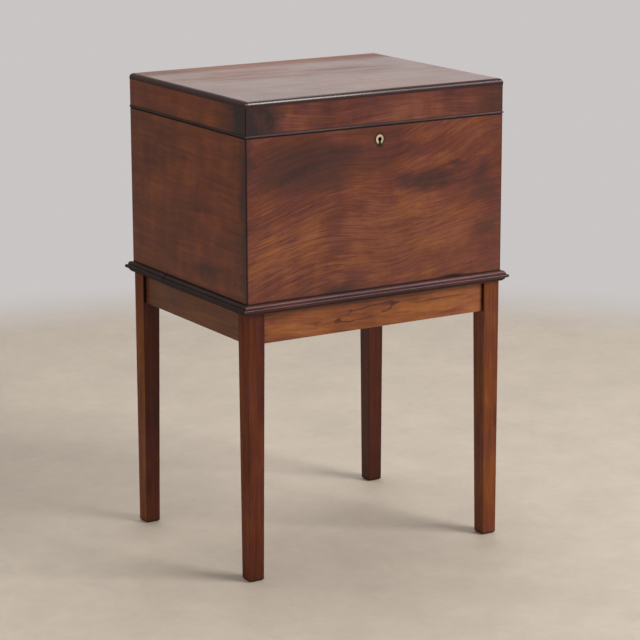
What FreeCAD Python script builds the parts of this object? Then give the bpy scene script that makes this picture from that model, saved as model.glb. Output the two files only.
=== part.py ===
import FreeCAD, Part
import math
import os
import re
import Sketcher

# A cellarette: a mahogany box for twelve bottles, with a hinged lid and a box lock,
# standing loose inside the moulding of a four-legged stand.
# Millimetres. +Z is up, the front faces -Y, and the origin is the centre of the footprint
# on the floor.

SIZES = [
    # The box and its lid
    ("case_width", 480, "box, left to right, outside"),
    ("case_depth", 384, "box, front to back, outside"),
    ("case_height", 268, "box, from the stand's frame to the seam"),
    ("lid_height", 57, "lid, from the seam to its top"),
    ("board", 15, "thickness of the sides of box and lid"),
    ("top_board", 10, "thickness of the lid's top"),
    ("bottom_board", 10, "thickness of the box's bottom"),
    ("bottom_rebate", 7, "how far the bottom is let into each side"),
    ("corner_round", 1.5, "rounding of the upright corners"),
    ("top_edge_round", 6.5, "rounding of the lid's upper edges"),
    ("seam_ease", 0.8, "chamfer round the box's upper edge"),
    ("seam_gap", 0.4, "gap between box and closed lid"),
    ("lid_bead", 3.6, "height of the bead on the lid's lower edge"),
    ("lid_bead_depth", 3, "how far the bead is let into the lid"),
    ("lid_bead_proud", 0.9, "how far the bead stands out from the lid"),
    ("tongue_width", 11, "loose tongue in each mitre, across the joint"),
    ("tongue_thickness", 4, "loose tongue, thickness"),
    ("tongue_stop", 9, "loose tongue, distance from the edges of the boards"),
    # Divisions for the bottles
    ("bottle_columns", 4, "bottles side by side"),
    ("bottle_rows", 3, "bottles front to back"),
    ("divider", 6, "thickness of the divisions"),
    ("divider_height", 180, "height of the divisions"),
    ("divider_edge", 1.2, "chamfer along the upper edges of the divisions"),
    ("housing", 3, "depth of the grooves that hold the divisions' ends"),
    # The stand
    ("stand_height", 446, "floor to the top of the stand's frame"),
    ("stand_set_in", 1.5, "legs' outer faces, in from the sides of the box"),
    ("leg_square", 30.3, "leg beside the rails, square"),
    ("leg_foot", 25.7, "leg just above the chamfer of its foot, square"),
    ("leg_edge", 0.8, "chamfer along the legs' long edges"),
    ("foot_ease", 2.5, "chamfer round the foot of a leg"),
    ("rail_height", 58.5, "height of the rails"),
    ("rail_thickness", 19, "thickness of the rails"),
    ("rail_set_in", 5.5, "rails' faces, in from the faces of the legs"),
    ("tenon_thickness", 8, "thickness of the rails' tenons"),
    ("tenon_shoulder", 6, "tenons, in from the upper and lower edges of the rails"),
    ("block_arm", 38, "corner block, length along each rail"),
    ("block_height", 28, "corner block, height"),
    # The moulding round the stand
    ("moulding_reach", 10.5, "moulding, out from the sides of the box"),
    ("moulding_drop", 9, "moulding, down from the top of the frame"),
    ("lip_height", 7.5, "moulding, up from the top of the frame"),
    ("lip_play", 0.5, "gap between box and moulding"),
    ("ovolo_radius", 4.5, "quarter round at the top of the moulding"),
    ("ovolo_reach", 6.4, "foot of that quarter round, out from the sides of the box"),
    ("astragal_radius", 2.8, "half round at the middle of the moulding"),
    ("astragal_drop", 0.8, "its centre, down from the top of the frame"),
    ("under_reach", 3, "lower edge of the moulding, out from the sides of the box"),
    ("under_fillet", 1.2, "flat at the moulding's lower edge"),
    ("under_step", 1.8, "flat beneath the half round"),
    ("under_round", 4, "round between those two flats"),
    ("patch_joint", 70, "butt joint in the left moulding, behind the centre"),
    ("patch_gap", 0.4, "gap at the butt joint"),
    ("patch_lift", 0.5, "the rear length sits this much higher"),
    # Hinges
    ("hinge_spacing", 300, "between the middles of the two hinges"),
    ("leaf_length", 62, "hinge leaf, along the seam"),
    ("leaf_width", 12.5, "hinge leaf, in from the back"),
    ("leaf_thickness", 2, "hinge leaf, thickness"),
    ("knuckle_radius", 3.4, "hinge knuckle, radius"),
    ("barrel_length", 48, "all three knuckles together"),
    ("middle_knuckle", 18, "the lid's knuckle"),
    ("knuckle_gap", 0.3, "gap beside and behind the knuckles"),
    ("hinge_pin", 1.5, "hinge pin, radius"),
    ("pin_play", 0.05, "radial clearance round the hinge pin"),
    ("lid_opening", 95, "degrees, where the leaves' bevelled stops meet"),
    ("stop_bevel", 45, "degrees, bevel of the lid leaf's stop"),
    ("stop_slack", 0.6, "degrees left between the stops"),
    ("leaf_screw_pitch", 40, "between the two screws of a leaf"),
    # The lock and its link plate
    ("lock_offset", 3, "middle of the lock, to the right of the middle of the front"),
    ("lock_width", 74, "lock plate, left to right"),
    ("lock_drop", 42, "lock plate, down from the seam"),
    ("lock_sheet", 1.6, "thickness of the plates"),
    ("selvedge_width", 11.5, "lock's top plate, front to back"),
    ("cap_width", 60, "lock's cap, left to right"),
    ("cap_drop", 37, "lock's cap, down from the seam"),
    ("cap_depth", 9, "lock, from the inside of the front to the face of the cap"),
    ("cap_sheet", 1.2, "thickness of the cap"),
    ("key_drop", 21, "centre of the keyhole, down from the seam"),
    ("key_round", 3, "keyhole, radius of its round part"),
    ("key_slot", 2.2, "keyhole, width of its slot"),
    ("key_tail", 8, "keyhole, from its centre to the foot of the slot"),
    ("drill_pin", 1.2, "pin that the hollow key turns on, radius"),
    ("drill_pin_length", 9.4, "that pin, from the lock's back plate"),
    ("link_spacing", 28, "between the two links"),
    ("link_depth", 9, "link, down from its plate"),
    ("link_thickness", 3, "link, left to right"),
    ("link_width", 5.4, "link, front to back"),
    ("link_wall", 1.1, "link, round its eye"),
    ("link_foot", 1.65, "link, below its eye"),
    ("link_play", 0.4, "gap round a link in the lock's top plate"),
    ("finger_height", 3, "bolt's finger, height"),
    ("finger_thickness", 2.4, "bolt's finger, front to back"),
    ("bolt_post", 3, "post that carries a finger, left to right"),
    ("bolt_travel", 7, "how far the bolt slides"),
    ("bolt_height", 7, "body of the bolt, height"),
    ("bolt_play", 0.3, "gap round the bolt"),
    ("bolt_headroom", 0.9, "gap between the links' feet and the body of the bolt"),
    ("finger_gap", 0.6, "gap between a link and the tip of the drawn-back finger"),
    ("talon_width", 5.5, "notch for the key in the bolt"),
    ("talon_depth", 3, "that notch, depth"),
    ("spring_sheet", 0.7, "bolt's spring, thickness"),
    ("spring_length", 13, "bolt's spring, along the bolt"),
    ("spring_gap", 0.6, "gap between the spring and the post beside it"),
    # Escutcheon
    ("escutcheon_half_width", 7.5, "keyhole plate, half its width"),
    ("escutcheon_half_height", 8.2, "keyhole plate, half its height"),
    ("escutcheon_foot", 7.8, "keyhole plate, from the keyhole's centre to its open foot"),
    ("escutcheon_toe", 4.6, "keyhole plate, half its width at the foot"),
    ("escutcheon_toe_round", 1.2, "rounding of the ends at its open foot"),
    ("escutcheon_depth", 2.5, "keyhole plate, let into the front"),
    ("escutcheon_proud", 0.3, "keyhole plate, out from the front"),
    # Screws and fits
    ("leaf_screw_head", 2.7, "hinge screw, head radius"),
    ("leaf_screw_neck", 1.5, "hinge screw, radius under its head"),
    ("leaf_screw_core", 1.3, "hinge screw, radius of its shank"),
    ("leaf_screw_length", 12, "hinge screw, length"),
    ("lock_screw_head", 2.3, "lock screw, head radius"),
    ("lock_screw_neck", 1.3, "lock screw, radius under its head"),
    ("lock_screw_core", 1.1, "lock screw, radius of its shank"),
    ("lock_screw_length", 9, "lock screw, length"),
    ("lock_screw_edge", 3.4, "lock screw, in from the end of its plate"),
    ("brad_long", 3, "cut brad, along the edge of the bottom"),
    ("brad_wide", 1.8, "cut brad, across that edge"),
    ("brad_length", 26, "cut brad, length"),
    ("screw_play", 0.1, "clearance round a screw"),
    ("brad_play", 0.05, "clearance round a brad"),
    ("let_in_play", 0.1, "clearance round a plate let into wood"),
    ("slip", 0.1, "clearance round tongues and divisions"),
]
ALIASES = {alias for alias, _, _ in SIZES}

doc = FreeCAD.newDocument("Cellarette")
sheet = doc.addObject("Spreadsheet::Sheet", "Sizes")
for row, (alias, size, meaning) in enumerate(SIZES, start=1):
    sheet.set(f"A{row}", meaning)
    sheet.set(f"B{row}", str(size))
    sheet.setAlias(f"B{row}", alias)
doc.recompute()

UP = FreeCAD.Vector(0, 0, 1)
PIECES = []


# ---------------------------------------------------------------- working with sizes

def sized(formula):
    """The formula as FreeCAD reads it, with each size's name pointing at its cell."""
    return re.sub(r"[a-z]\w*", lambda word: f"Sizes.{word[0]}" if word[0] in ALIASES else word[0], formula)


def number(formula):
    """What the formula comes to now."""
    return float(sheet.evalExpression(sized(formula)))


def bind(thing, prop, formula):
    thing.setExpression(prop, sized(formula))


def place(thing, spot, rotation=FreeCAD.Rotation()):
    thing.Placement = FreeCAD.Placement(FreeCAD.Vector(), rotation)
    for axis, formula in zip("xyz", spot):
        bind(thing, f".Placement.Base.{axis}", formula)
    return thing


def piece(thing, label):
    """Keep this object as one of the pieces, under the name of its file."""
    thing.Label = label
    PIECES.append(thing)
    return thing


# ---------------------------------------------------------------- primitives and booleans

def box(name, x, y, z):
    """A block between two formulas on each axis."""
    block = doc.addObject("Part::Box", name)
    for prop, (low, high) in zip(("Length", "Width", "Height"), (x, y, z)):
        bind(block, prop, f"({high}) - ({low})")
    return place(block, (x[0], y[0], z[0]))


def rod(name, spot, rotation, radius, length):
    cylinder = doc.addObject("Part::Cylinder", name)
    bind(cylinder, "Radius", radius)
    bind(cylinder, "Height", length)
    return place(cylinder, spot, rotation)


def fuse(name, parts):
    if len(parts) == 1:
        return parts[0]
    joined = doc.addObject("Part::MultiFuse", name)
    joined.Shapes = parts
    return joined


def cut(name, base, tools):
    left = doc.addObject("Part::Cut", name)
    left.Base = base
    left.Tool = fuse(f"{name}_tools", tools)
    return left


def common(name, base, tool):
    both = doc.addObject("Part::Common", name)
    both.Base = base
    both.Tool = tool
    return both


def group(name, parts):
    """Separate solids that share one node."""
    together = doc.addObject("Part::Compound", name)
    together.Links = parts
    return together


# ---------------------------------------------------------------- bodies and sketches

def body(name):
    return doc.addObject("PartDesign::Body", name)


def sketch(owner, plane, offset="0"):
    """An empty sketch on one of the body's own planes, moved along the plane's normal."""
    drawing = owner.newObject("Sketcher::SketchObject", f"{owner.Name}_sketch")
    support = [feature for feature in owner.Origin.OriginFeatures if feature.Role == plane][0]
    drawing.AttachmentSupport = [(support, "")]
    drawing.MapMode = "FlatFace"
    bind(drawing, ".AttachmentOffset.Base.z", offset)
    return drawing


def fix(drawing, kind, geometry, point, formula):
    """Hold one point of the sketch at a formula's distance from the sketch's origin."""
    index = drawing.addConstraint(Sketcher.Constraint(kind, -1, 1, geometry, point, number(formula)))
    bind(drawing, f"Constraints[{index}]", formula)


def outline(drawing, corners):
    """Draw a closed outline. A corner is (across, up), or (across, up, radius) where an arc
    of that radius arrives at it. The arc turns to the left as the outline is followed, and
    a fourth value, "right", turns it the other way."""
    spots = [FreeCAD.Vector(number(corner[0]), number(corner[1]), 0) for corner in corners]
    first = drawing.GeometryCount
    arrival = []
    for index, corner in enumerate(corners):
        start, end = spots[index - 1], spots[index]
        if len(corner) == 2:
            drawing.addGeometry(Part.LineSegment(start, end))
            arrival.append(2)
            continue
        if corner[-1] == "right":
            start, end = end, start
        arrival.append(1 if corner[-1] == "right" else 2)
        radius = number(corner[2])
        chord = end - start
        inward = UP.cross(chord).normalize()
        centre = start + chord / 2 + inward * math.sqrt(radius ** 2 - chord.Length ** 2 / 4)
        turn = [math.atan2(spot.y - centre.y, spot.x - centre.x) for spot in (start, end)]
        drawing.addGeometry(Part.ArcOfCircle(Part.Circle(centre, UP, radius), turn[0], turn[1]))
    for index, corner in enumerate(corners):
        geometry = first + index
        following = (index + 1) % len(corners)
        drawing.addConstraint(Sketcher.Constraint(
            "Coincident", geometry, arrival[index], first + following, 3 - arrival[following]))
        fix(drawing, "DistanceX", geometry, arrival[index], corner[0])
        fix(drawing, "DistanceY", geometry, arrival[index], corner[1])
        if len(corner) > 2:
            limit = drawing.addConstraint(Sketcher.Constraint("Radius", geometry, number(corner[2])))
            bind(drawing, f"Constraints[{limit}]", corner[2])
    return drawing


def circle(drawing, across, up, radius):
    geometry = drawing.addGeometry(
        Part.Circle(FreeCAD.Vector(number(across), number(up), 0), UP, number(radius)))
    fix(drawing, "DistanceX", geometry, 3, across)
    fix(drawing, "DistanceY", geometry, 3, up)
    limit = drawing.addConstraint(Sketcher.Constraint("Radius", geometry, number(radius)))
    bind(drawing, f"Constraints[{limit}]", radius)
    return drawing


def rectangle(x, y):
    return [(x[0], y[0]), (x[1], y[0]), (x[1], y[1]), (x[0], y[1])]


def pad(owner, drawing, length, both_ways=False):
    feature = owner.newObject("PartDesign::Pad", f"{owner.Name}_pad")
    feature.Profile = drawing
    feature.SideType = "Symmetric" if both_ways else "One side"
    bind(feature, "Length", length)
    drawing.Visibility = False
    doc.recompute()
    return feature


def pocket(owner, drawing, length, both_ways=False):
    """Cut against the sketch's normal, or both ways from it, and see that wood came away."""
    before = owner.Shape.Volume
    feature = owner.newObject("PartDesign::Pocket", f"{owner.Name}_pocket")
    feature.Profile = drawing
    feature.SideType = "Symmetric" if both_ways else "One side"
    bind(feature, "Length", length)
    doc.recompute()
    if not owner.Shape.Volume < before:
        raise ValueError(f"{feature.Name} cuts nothing")
    return feature


def edges_where(owner, wanted):
    return [f"Edge{index}" for index, edge in enumerate(owner.Shape.Edges, start=1) if wanted(edge)]


def ease(owner, kind, size_property, size, wanted):
    """Fillet or chamfer the body's edges that the test picks."""
    before, edges = owner.Tip, edges_where(owner, wanted)
    feature = owner.newObject(f"PartDesign::{kind}", f"{owner.Name}_{kind.lower()}")
    feature.Base = (before, edges)
    bind(feature, size_property, size)
    doc.recompute()
    return feature


def upright(edge):
    """Whether the edge climbs more than it leans, as the long edges of a leg do."""
    rise = edge.Vertexes[-1].Point - edge.Vertexes[0].Point
    return abs(rise.z) > 4 * math.hypot(rise.x, rise.y)


def lies_at(edge, axis, value):
    return all(abs(getattr(vertex.Point, axis) - value) < 1e-6 for vertex in edge.Vertexes)


# ---------------------------------------------------------------- shared lines of the design

SEAM = "(stand_height + case_height)"
LID_LOW = f"({SEAM} + seam_gap)"
LID_UNDERSIDE = f"({SEAM} + lid_height - top_board)"
HALF_WIDTH = "(case_width / 2)"
HALF_DEPTH = "(case_depth / 2)"
INNER_WIDTH = "(case_width - 2 * board)"
INNER_DEPTH = "(case_depth - 2 * board)"
FLOOR = "(stand_height + bottom_board)"

# Every side is made as the front one and turned about Z into its place.
# name: (degrees, length of the side, distance from the centre to its face)
SIDES = {
    "front": (0, "case_width", HALF_DEPTH),
    "right": (90, "case_depth", HALF_WIDTH),
    "back": (180, "case_width", HALF_DEPTH),
    "left": (270, "case_depth", HALF_WIDTH),
}
CORNERS = {
    "front_left": (0, -1, -1),
    "front_right": (90, 1, -1),
    "back_right": (180, 1, 1),
    "back_left": (270, -1, 1),
}


def about_z(degrees):
    return FreeCAD.Rotation(UP, degrees)


def field(name, corners):
    """An upright block over the whole height, which keeps or cuts off what is inside it."""
    owner = body(name)
    pad(owner, outline(sketch(owner, "XY_Plane"), corners), f"{SEAM} + 2 * lid_height")
    return owner


MITRE_OUT = "(2 * moulding_reach)"
MITRE_IN = "(2 * board)"


def mitre_field(side):
    """The part of the plan that belongs to one side, out to the mitres at its ends."""
    degrees, run, face = SIDES[side]
    owner = field(f"{side}_field", [
        (f"-({run} / 2 + {MITRE_OUT})", f"-({face} + {MITRE_OUT})"),
        (f"{run} / 2 + {MITRE_OUT}", f"-({face} + {MITRE_OUT})"),
        (f"{run} / 2 - {MITRE_IN}", f"-({face} - {MITRE_IN})"),
        (f"-({run} / 2 - {MITRE_IN})", f"-({face} - {MITRE_IN})"),
    ])
    return place(owner, ("0", "0", "0"), about_z(degrees))


FIELDS = {side: mitre_field(side) for side in SIDES}


# ---------------------------------------------------------------- the stand

LEG_FACE_X = "(case_width / 2 - stand_set_in)"
LEG_FACE_Y = "(case_depth / 2 - stand_set_in)"
RAIL_LOW = "(stand_height - rail_height)"
RAIL_INNER = "(rail_set_in + rail_thickness)"
TENON_OUTER = "(rail_set_in + (rail_thickness - tenon_thickness) / 2)"
TENON_INNER = f"({TENON_OUTER} + tenon_thickness)"
TENON_HEIGHT = "(rail_height - 2 * tenon_shoulder)"


def eased_square(low, high):
    """A square with its corners taken off, between the same two limits on both axes."""
    past_low, short_of_high = f"({low} + leg_edge)", f"({high} - leg_edge)"
    return [
        (past_low, low), (short_of_high, low), (high, past_low), (high, short_of_high),
        (short_of_high, high), (past_low, high), (low, short_of_high), (low, past_low),
    ]


def leg(corner):
    """A square leg whose two inner faces taper below the rails, mortised for both rails.
    Its outer corner is its own origin, and it stands towards +X and +Y from there."""
    degrees, side_x, side_y = CORNERS[corner]
    owner = body(f"leg_{corner}")
    sole = outline(sketch(owner, "XY_Plane"), eased_square("foot_ease", "leg_foot - foot_ease"))
    ankle = outline(sketch(owner, "XY_Plane", "foot_ease"), eased_square("0", "leg_foot"))
    knee = outline(sketch(owner, "XY_Plane", RAIL_LOW), eased_square("0", "leg_square"))
    taper = owner.newObject("PartDesign::AdditiveLoft", f"{owner.Name}_taper")
    taper.Profile = sole
    taper.Sections = [ankle, knee]
    taper.Ruled = True
    doc.recompute()
    pad(owner, outline(sketch(owner, "XY_Plane", RAIL_LOW), eased_square("0", "leg_square")), "rail_height")
    mortises = [
        (TENON_OUTER, TENON_OUTER), ("leg_square", TENON_OUTER), ("leg_square", TENON_INNER),
        (TENON_INNER, TENON_INNER), (TENON_INNER, "leg_square"), (TENON_OUTER, "leg_square"),
    ]
    mouth = sketch(owner, "XY_Plane", "stand_height - tenon_shoulder")
    pocket(owner, outline(mouth, mortises), TENON_HEIGHT)
    place(owner, (f"{side_x} * {LEG_FACE_X}", f"{side_y} * {LEG_FACE_Y}", "0"), about_z(degrees))
    piece(owner, f"leg_{corner}")


def rail(side):
    """A rail set in from the legs' faces, with a mitred tenon at each end."""
    degrees, run, face = SIDES[side]
    half = f"({run} / 2 - stand_set_in)"
    legs_face = f"({face} - stand_set_in)"
    owner = body(f"rail_{side}")
    pad(owner, outline(sketch(owner, "XY_Plane", RAIL_LOW), rectangle(
        (f"-({half} - leg_square)", f"{half} - leg_square"),
        (f"-({legs_face} - rail_set_in)", f"-({legs_face} - {RAIL_INNER})"))), "rail_height")
    pad(owner, outline(sketch(owner, "XY_Plane", f"{RAIL_LOW} + tenon_shoulder"), [
        (f"-({half} - {TENON_OUTER})", f"-({legs_face} - {TENON_OUTER})"),
        (f"{half} - {TENON_OUTER}", f"-({legs_face} - {TENON_OUTER})"),
        (f"{half} - {TENON_INNER}", f"-({legs_face} - {TENON_INNER})"),
        (f"-({half} - {TENON_INNER})", f"-({legs_face} - {TENON_INNER})"),
    ]), TENON_HEIGHT)
    place(owner, ("0", "0", "0"), about_z(degrees))
    piece(owner, f"rail_{side}")


def corner_block(corner):
    """A block glued behind a leg, notched round it, with its top level with the frame."""
    degrees, side_x, side_y = CORNERS[corner]
    owner = body(f"block_{corner}")
    pad(owner, outline(sketch(owner, "XY_Plane", "stand_height - block_height"), [
        ("leg_square", RAIL_INNER), ("leg_square + block_arm", RAIL_INNER),
        (RAIL_INNER, "leg_square + block_arm"), (RAIL_INNER, "leg_square"), ("leg_square", "leg_square"),
    ]), "block_height")
    return place(owner, (f"{side_x} * {LEG_FACE_X}", f"{side_y} * {LEG_FACE_Y}", "0"), about_z(degrees))


def moulding(side):
    """The stand's moulding: fixed to the frame below, and a lip round the box above.
    From the top down: quarter round, half round, and a smaller round beneath."""
    degrees, run, face = SIDES[side]

    def spot(out, rise, *arc):
        return (f"-({face} + {out})", f"stand_height + {rise}", *arc)

    half_round = "(moulding_reach - astragal_radius)"
    owner = body(f"moulding_length_{side}")
    profile = outline(sketch(owner, "YZ_Plane"), [
        spot("(-stand_set_in)", "(-moulding_drop)"),
        spot("(-stand_set_in)", "0"),
        spot("lip_play", "0"),
        spot("lip_play", "lip_height"),
        spot("(ovolo_reach - ovolo_radius)", "lip_height"),
        spot("ovolo_reach", "(lip_height - ovolo_radius)", "ovolo_radius"),
        spot("ovolo_reach", "(astragal_radius - astragal_drop)"),
        spot(half_round, "(astragal_radius - astragal_drop)"),
        spot("moulding_reach", "(-astragal_drop)", "astragal_radius"),
        spot(half_round, "(-astragal_radius - astragal_drop)", "astragal_radius"),
        spot(f"({half_round} - under_step)", "(-astragal_radius - astragal_drop)"),
        spot("under_reach", "(under_fillet - moulding_drop)", "under_round"),
        spot("under_reach", "(-moulding_drop)"),
    ])
    pad(owner, profile, f"{run} + 2 * {MITRE_OUT}", both_ways=True)
    place(owner, ("0", "0", "0"), about_z(degrees))
    return common(f"moulding_{side}", owner, FIELDS[side])


def stand():
    for corner in CORNERS:
        leg(corner)
    for side in SIDES:
        rail(side)
    piece(group("corner_blocks", [corner_block(corner) for corner in CORNERS]), "corner_blocks")
    for side in ("front", "right", "back"):
        piece(moulding(side), f"moulding_{side}")
    # The left length was broken and refixed in two, with a butt joint behind the middle.
    left = moulding("left")
    beyond = f"{HALF_DEPTH} + {MITRE_OUT}"
    outside = (f"-({HALF_WIDTH} + {MITRE_OUT})", "0")
    heights = (RAIL_LOW, SEAM)
    rear = box("rear_of_joint", outside, ("patch_joint - patch_gap / 2", beyond), heights)
    fore = box("fore_of_joint", outside, (f"-({beyond})", "patch_joint + patch_gap / 2"), heights)
    piece(cut("moulding_left_fore", left, [rear]), "moulding_left_fore")
    # The rear one sits higher, and is trimmed level with the frame under the box.
    trimmed = box("under_box", (f"-({HALF_WIDTH} + lip_play)", "0"), ("0", beyond),
                  ("stand_height - patch_lift", "stand_height"))
    piece(place(cut("moulding_left_rear", left, [fore, trimmed]), ("0", "0", "patch_lift")),
          "moulding_left_rear")


# ---------------------------------------------------------------- screws

POINTS_DOWN = FreeCAD.Rotation(FreeCAD.Vector(1, 0, 0), 180)
POINTS_UP = FreeCAD.Rotation()
POINTS_FORWARD = FreeCAD.Rotation(FreeCAD.Vector(1, 0, 0), 90)
POINTS_RIGHT = FreeCAD.Rotation(FreeCAD.Vector(0, 1, 0), 90)
SCREWED_PLATE = {"leaf": "leaf_thickness", "lock": "lock_sheet"}
HEAD_SIDES = 14
SHANK_SIDES = 8


def screw(name, kind, spot, rotation, play="0"):
    """A countersunk screw with its head's face at the spot, or the hole for it. The head tapers
    through the plate that it holds, and both head and shank are many-sided instead of round."""
    inward = rotation.multVec(FreeCAD.Vector(0, 0, 1))
    behind_plate = tuple(f"{at} + {round(step)} * {SCREWED_PLATE[kind]}" for at, step in zip(spot, inward))
    rings = []
    for part, at in (("head", spot), ("neck", behind_plate)):
        ring = doc.addObject("Part::RegularPolygon", f"{name}_{part}_ring")
        ring.Polygon = HEAD_SIDES
        bind(ring, "Circumradius", f"{kind}_screw_{part} + {play}")
        rings.append(place(ring, at, rotation))
    head = doc.addObject("Part::Loft", f"{name}_head")
    head.Sections = rings
    head.Solid = True
    head.Ruled = True
    shank = doc.addObject("Part::Prism", f"{name}_shank")
    shank.Polygon = SHANK_SIDES
    bind(shank, "Circumradius", f"{kind}_screw_core + {play}")
    bind(shank, "Height", f"{kind}_screw_length + {play}")
    return [head, place(shank, spot, rotation)]


def screws(name, kind, spots, rotation):
    """The screws at these spots, each one solid."""
    return [fuse(f"{name}_{index}", screw(f"{name}_{index}", kind, spot, rotation))
            for index, spot in enumerate(spots, start=1)]


def screw_holes(name, kind, spots, rotation):
    holes = []
    for index, spot in enumerate(spots, start=1):
        holes += screw(f"{name}_hole_{index}", kind, spot, rotation, "screw_play")
    return holes


# ---------------------------------------------------------------- hinges

BACK_FACE = "(knuckle_radius + knuckle_gap)"        # from the hinge's axis to the back of the box
HINGE_Y = f"({HALF_DEPTH} + {BACK_FACE})"
HINGE_Z = f"({SEAM} + seam_gap / 2)"
HINGE_X = {"left": "(-hinge_spacing / 2)", "right": "(hinge_spacing / 2)"}


def hinge_leaf(name, hand, bevel, knuckles, relief, middle):
    """One leaf, with the hinge's axis as its own X axis. It carries its knuckles, and at both
    ends a bevelled stop behind the axis. hand is 1 for the lid's leaf and -1 for the box's,
    bevel is the slope of its stops, and relief is where the other leaf's knuckles turn."""
    owner = body(name)
    inner = f"-({BACK_FACE} + leaf_width)"
    near, far = "(seam_gap / 2)", "(seam_gap / 2 + leaf_thickness)"
    section = [
        (inner, f"{hand} * {near}"), (f"{near} / tan({bevel})", f"{hand} * {near}"),
        (f"{far} / tan({bevel})", f"{hand} * {far}"), (inner, f"{hand} * {far}"),
    ]
    pad(owner, outline(sketch(owner, "YZ_Plane"), section), "leaf_length", both_ways=True)
    for low, high in relief:
        gap = rectangle((low, high), (f"-{BACK_FACE}", "2 * knuckle_radius"))
        pocket(owner, outline(sketch(owner, "XY_Plane"), gap), "4 * knuckle_radius", both_ways=True)
    for low, high in knuckles:
        end = circle(sketch(owner, "YZ_Plane", low), "0", "0", "knuckle_radius")
        pad(owner, end, f"({high}) - ({low})")
    bore = circle(sketch(owner, "YZ_Plane"), "0", "0", "hinge_pin + pin_play")
    pocket(owner, bore, "2 * leaf_length", both_ways=True)
    return place(owner, (middle, HINGE_Y, HINGE_Z))


def leaf_screw_spots(height):
    row = f"({HINGE_Y} - {BACK_FACE} - leaf_width / 2)"
    return [(f"{middle} + {side} * leaf_screw_pitch / 2", row, height)
            for middle in HINGE_X.values() for side in (-1, 1)]


def leaf_recesses(name, height):
    """What is cut from the wood for the two leaves, between two heights."""
    return [box(f"{name}_{hand}",
                (f"{middle} - leaf_length / 2 - let_in_play", f"{middle} + leaf_length / 2 + let_in_play"),
                (f"{HALF_DEPTH} - leaf_width - let_in_play", f"{HALF_DEPTH} + {BACK_FACE}"), height)
            for hand, middle in HINGE_X.items()]


def hinges():
    ends, middle = "(barrel_length / 2)", "(middle_knuckle / 2)"
    outer = [(f"-{ends}", f"-({middle} + knuckle_gap)"), (f"{middle} + knuckle_gap", ends)]
    centre = [(f"-{middle}", middle)]
    around_centre = [(f"-({middle} + knuckle_gap)", f"{middle} + knuckle_gap")]
    around_outer = [(f"-({ends} + knuckle_gap)", f"-{middle}"), (middle, f"{ends} + knuckle_gap")]
    meeting = "(lid_opening - stop_bevel + stop_slack)"
    case_leaves, lid_leaves, pins = [], [], []
    for hand, place_x in HINGE_X.items():
        case_leaves.append(hinge_leaf(f"case_leaf_{hand}", "-1", meeting, outer, around_centre, place_x))
        lid_leaves.append(hinge_leaf(f"lid_leaf_{hand}", "1", "stop_bevel", centre, around_outer, place_x))
        pins.append(rod(f"pin_{hand}", (f"{place_x} - {ends}", HINGE_Y, HINGE_Z),
                        POINTS_RIGHT, "hinge_pin", "barrel_length"))
    case_spots, lid_spots = leaf_screw_spots(SEAM), leaf_screw_spots(LID_LOW)
    case_holes = screw_holes("case_leaf", "leaf", case_spots, POINTS_DOWN)
    lid_holes = screw_holes("lid_leaf", "leaf", lid_spots, POINTS_UP)
    piece(cut("hinge_case_leaves", group("case_leaves", case_leaves), case_holes), "hinge_case_leaves")
    piece(cut("hinge_lid_leaves", group("lid_leaves", lid_leaves), lid_holes), "hinge_lid_leaves")
    piece(group("hinge_pins", pins), "hinge_pins")
    piece(group("hinge_case_screws", screws("case_leaf_screw", "leaf", case_spots, POINTS_DOWN)),
          "hinge_case_screws")
    piece(group("hinge_lid_screws", screws("lid_leaf_screw", "leaf", lid_spots, POINTS_UP)),
          "hinge_lid_screws")
    in_case = leaf_recesses("case_leaf_recess", (f"{SEAM} - leaf_thickness", f"{SEAM} + seam_gap"))
    in_lid = leaf_recesses("lid_leaf_recess", (SEAM, f"{LID_LOW} + leaf_thickness"))
    return in_case + case_holes, in_lid + lid_holes


# ---------------------------------------------------------------- lock, bolt and links

FRONT_INSIDE = f"(-({HALF_DEPTH} - board))"         # the inner face of the front
KEY_Z = f"({SEAM} - key_drop)"
LINK_Y = f"({FRONT_INSIDE} - (lock_sheet + cap_depth - cap_sheet) / 2)"
EYE_LOW = f"({LID_LOW} - link_depth + link_foot)"
FINGER_LOW = f"({EYE_LOW} + link_play)"
BOLT_TOP = f"({LID_LOW} - link_depth - bolt_headroom)"
BOLT_LOW = f"({BOLT_TOP} - bolt_height)"


def behind(depth):
    """From the inside of the front, this far towards its face."""
    return f"({FRONT_INSIDE} - {depth})"


def about_lock(half):
    """This far to the left and to the right of the lock's middle."""
    return f"(lock_offset - {half})", f"(lock_offset + {half})"


LINK_X = about_lock("link_spacing / 2")
PLATE_X = about_lock("lock_width / 2")
CAP_X = about_lock("cap_width / 2")


def keyhole(name, play, start, length):
    """The keyhole's shape, as a tool that runs forward from a depth."""
    owner = body(name)
    radius, half_slot = f"(key_round + {play})", f"(key_slot / 2 + {play})"
    pad(owner, circle(sketch(owner, "XZ_Plane", f"-({start})"), "lock_offset", KEY_Z, radius), length)
    slit = rectangle(about_lock(half_slot), (f"{KEY_Z} - key_tail - {play}", KEY_Z))
    pad(owner, outline(sketch(owner, "XZ_Plane", f"-({start})"), slit), length)
    return owner


def lock_screw_spots():
    """Two screws down through the lock's top plate, two forward through the feet of its back
    plate, and two up through the link plate."""
    across = about_lock("(lock_width / 2 - lock_screw_edge)")
    top = [(x, behind("selvedge_width / 2"), SEAM) for x in across]
    back = [(x, FRONT_INSIDE, f"{SEAM} - lock_drop + lock_screw_edge") for x in across]
    lid = [(x, behind("selvedge_width / 2"), LID_LOW) for x in across]
    return top, back, lid


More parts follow.
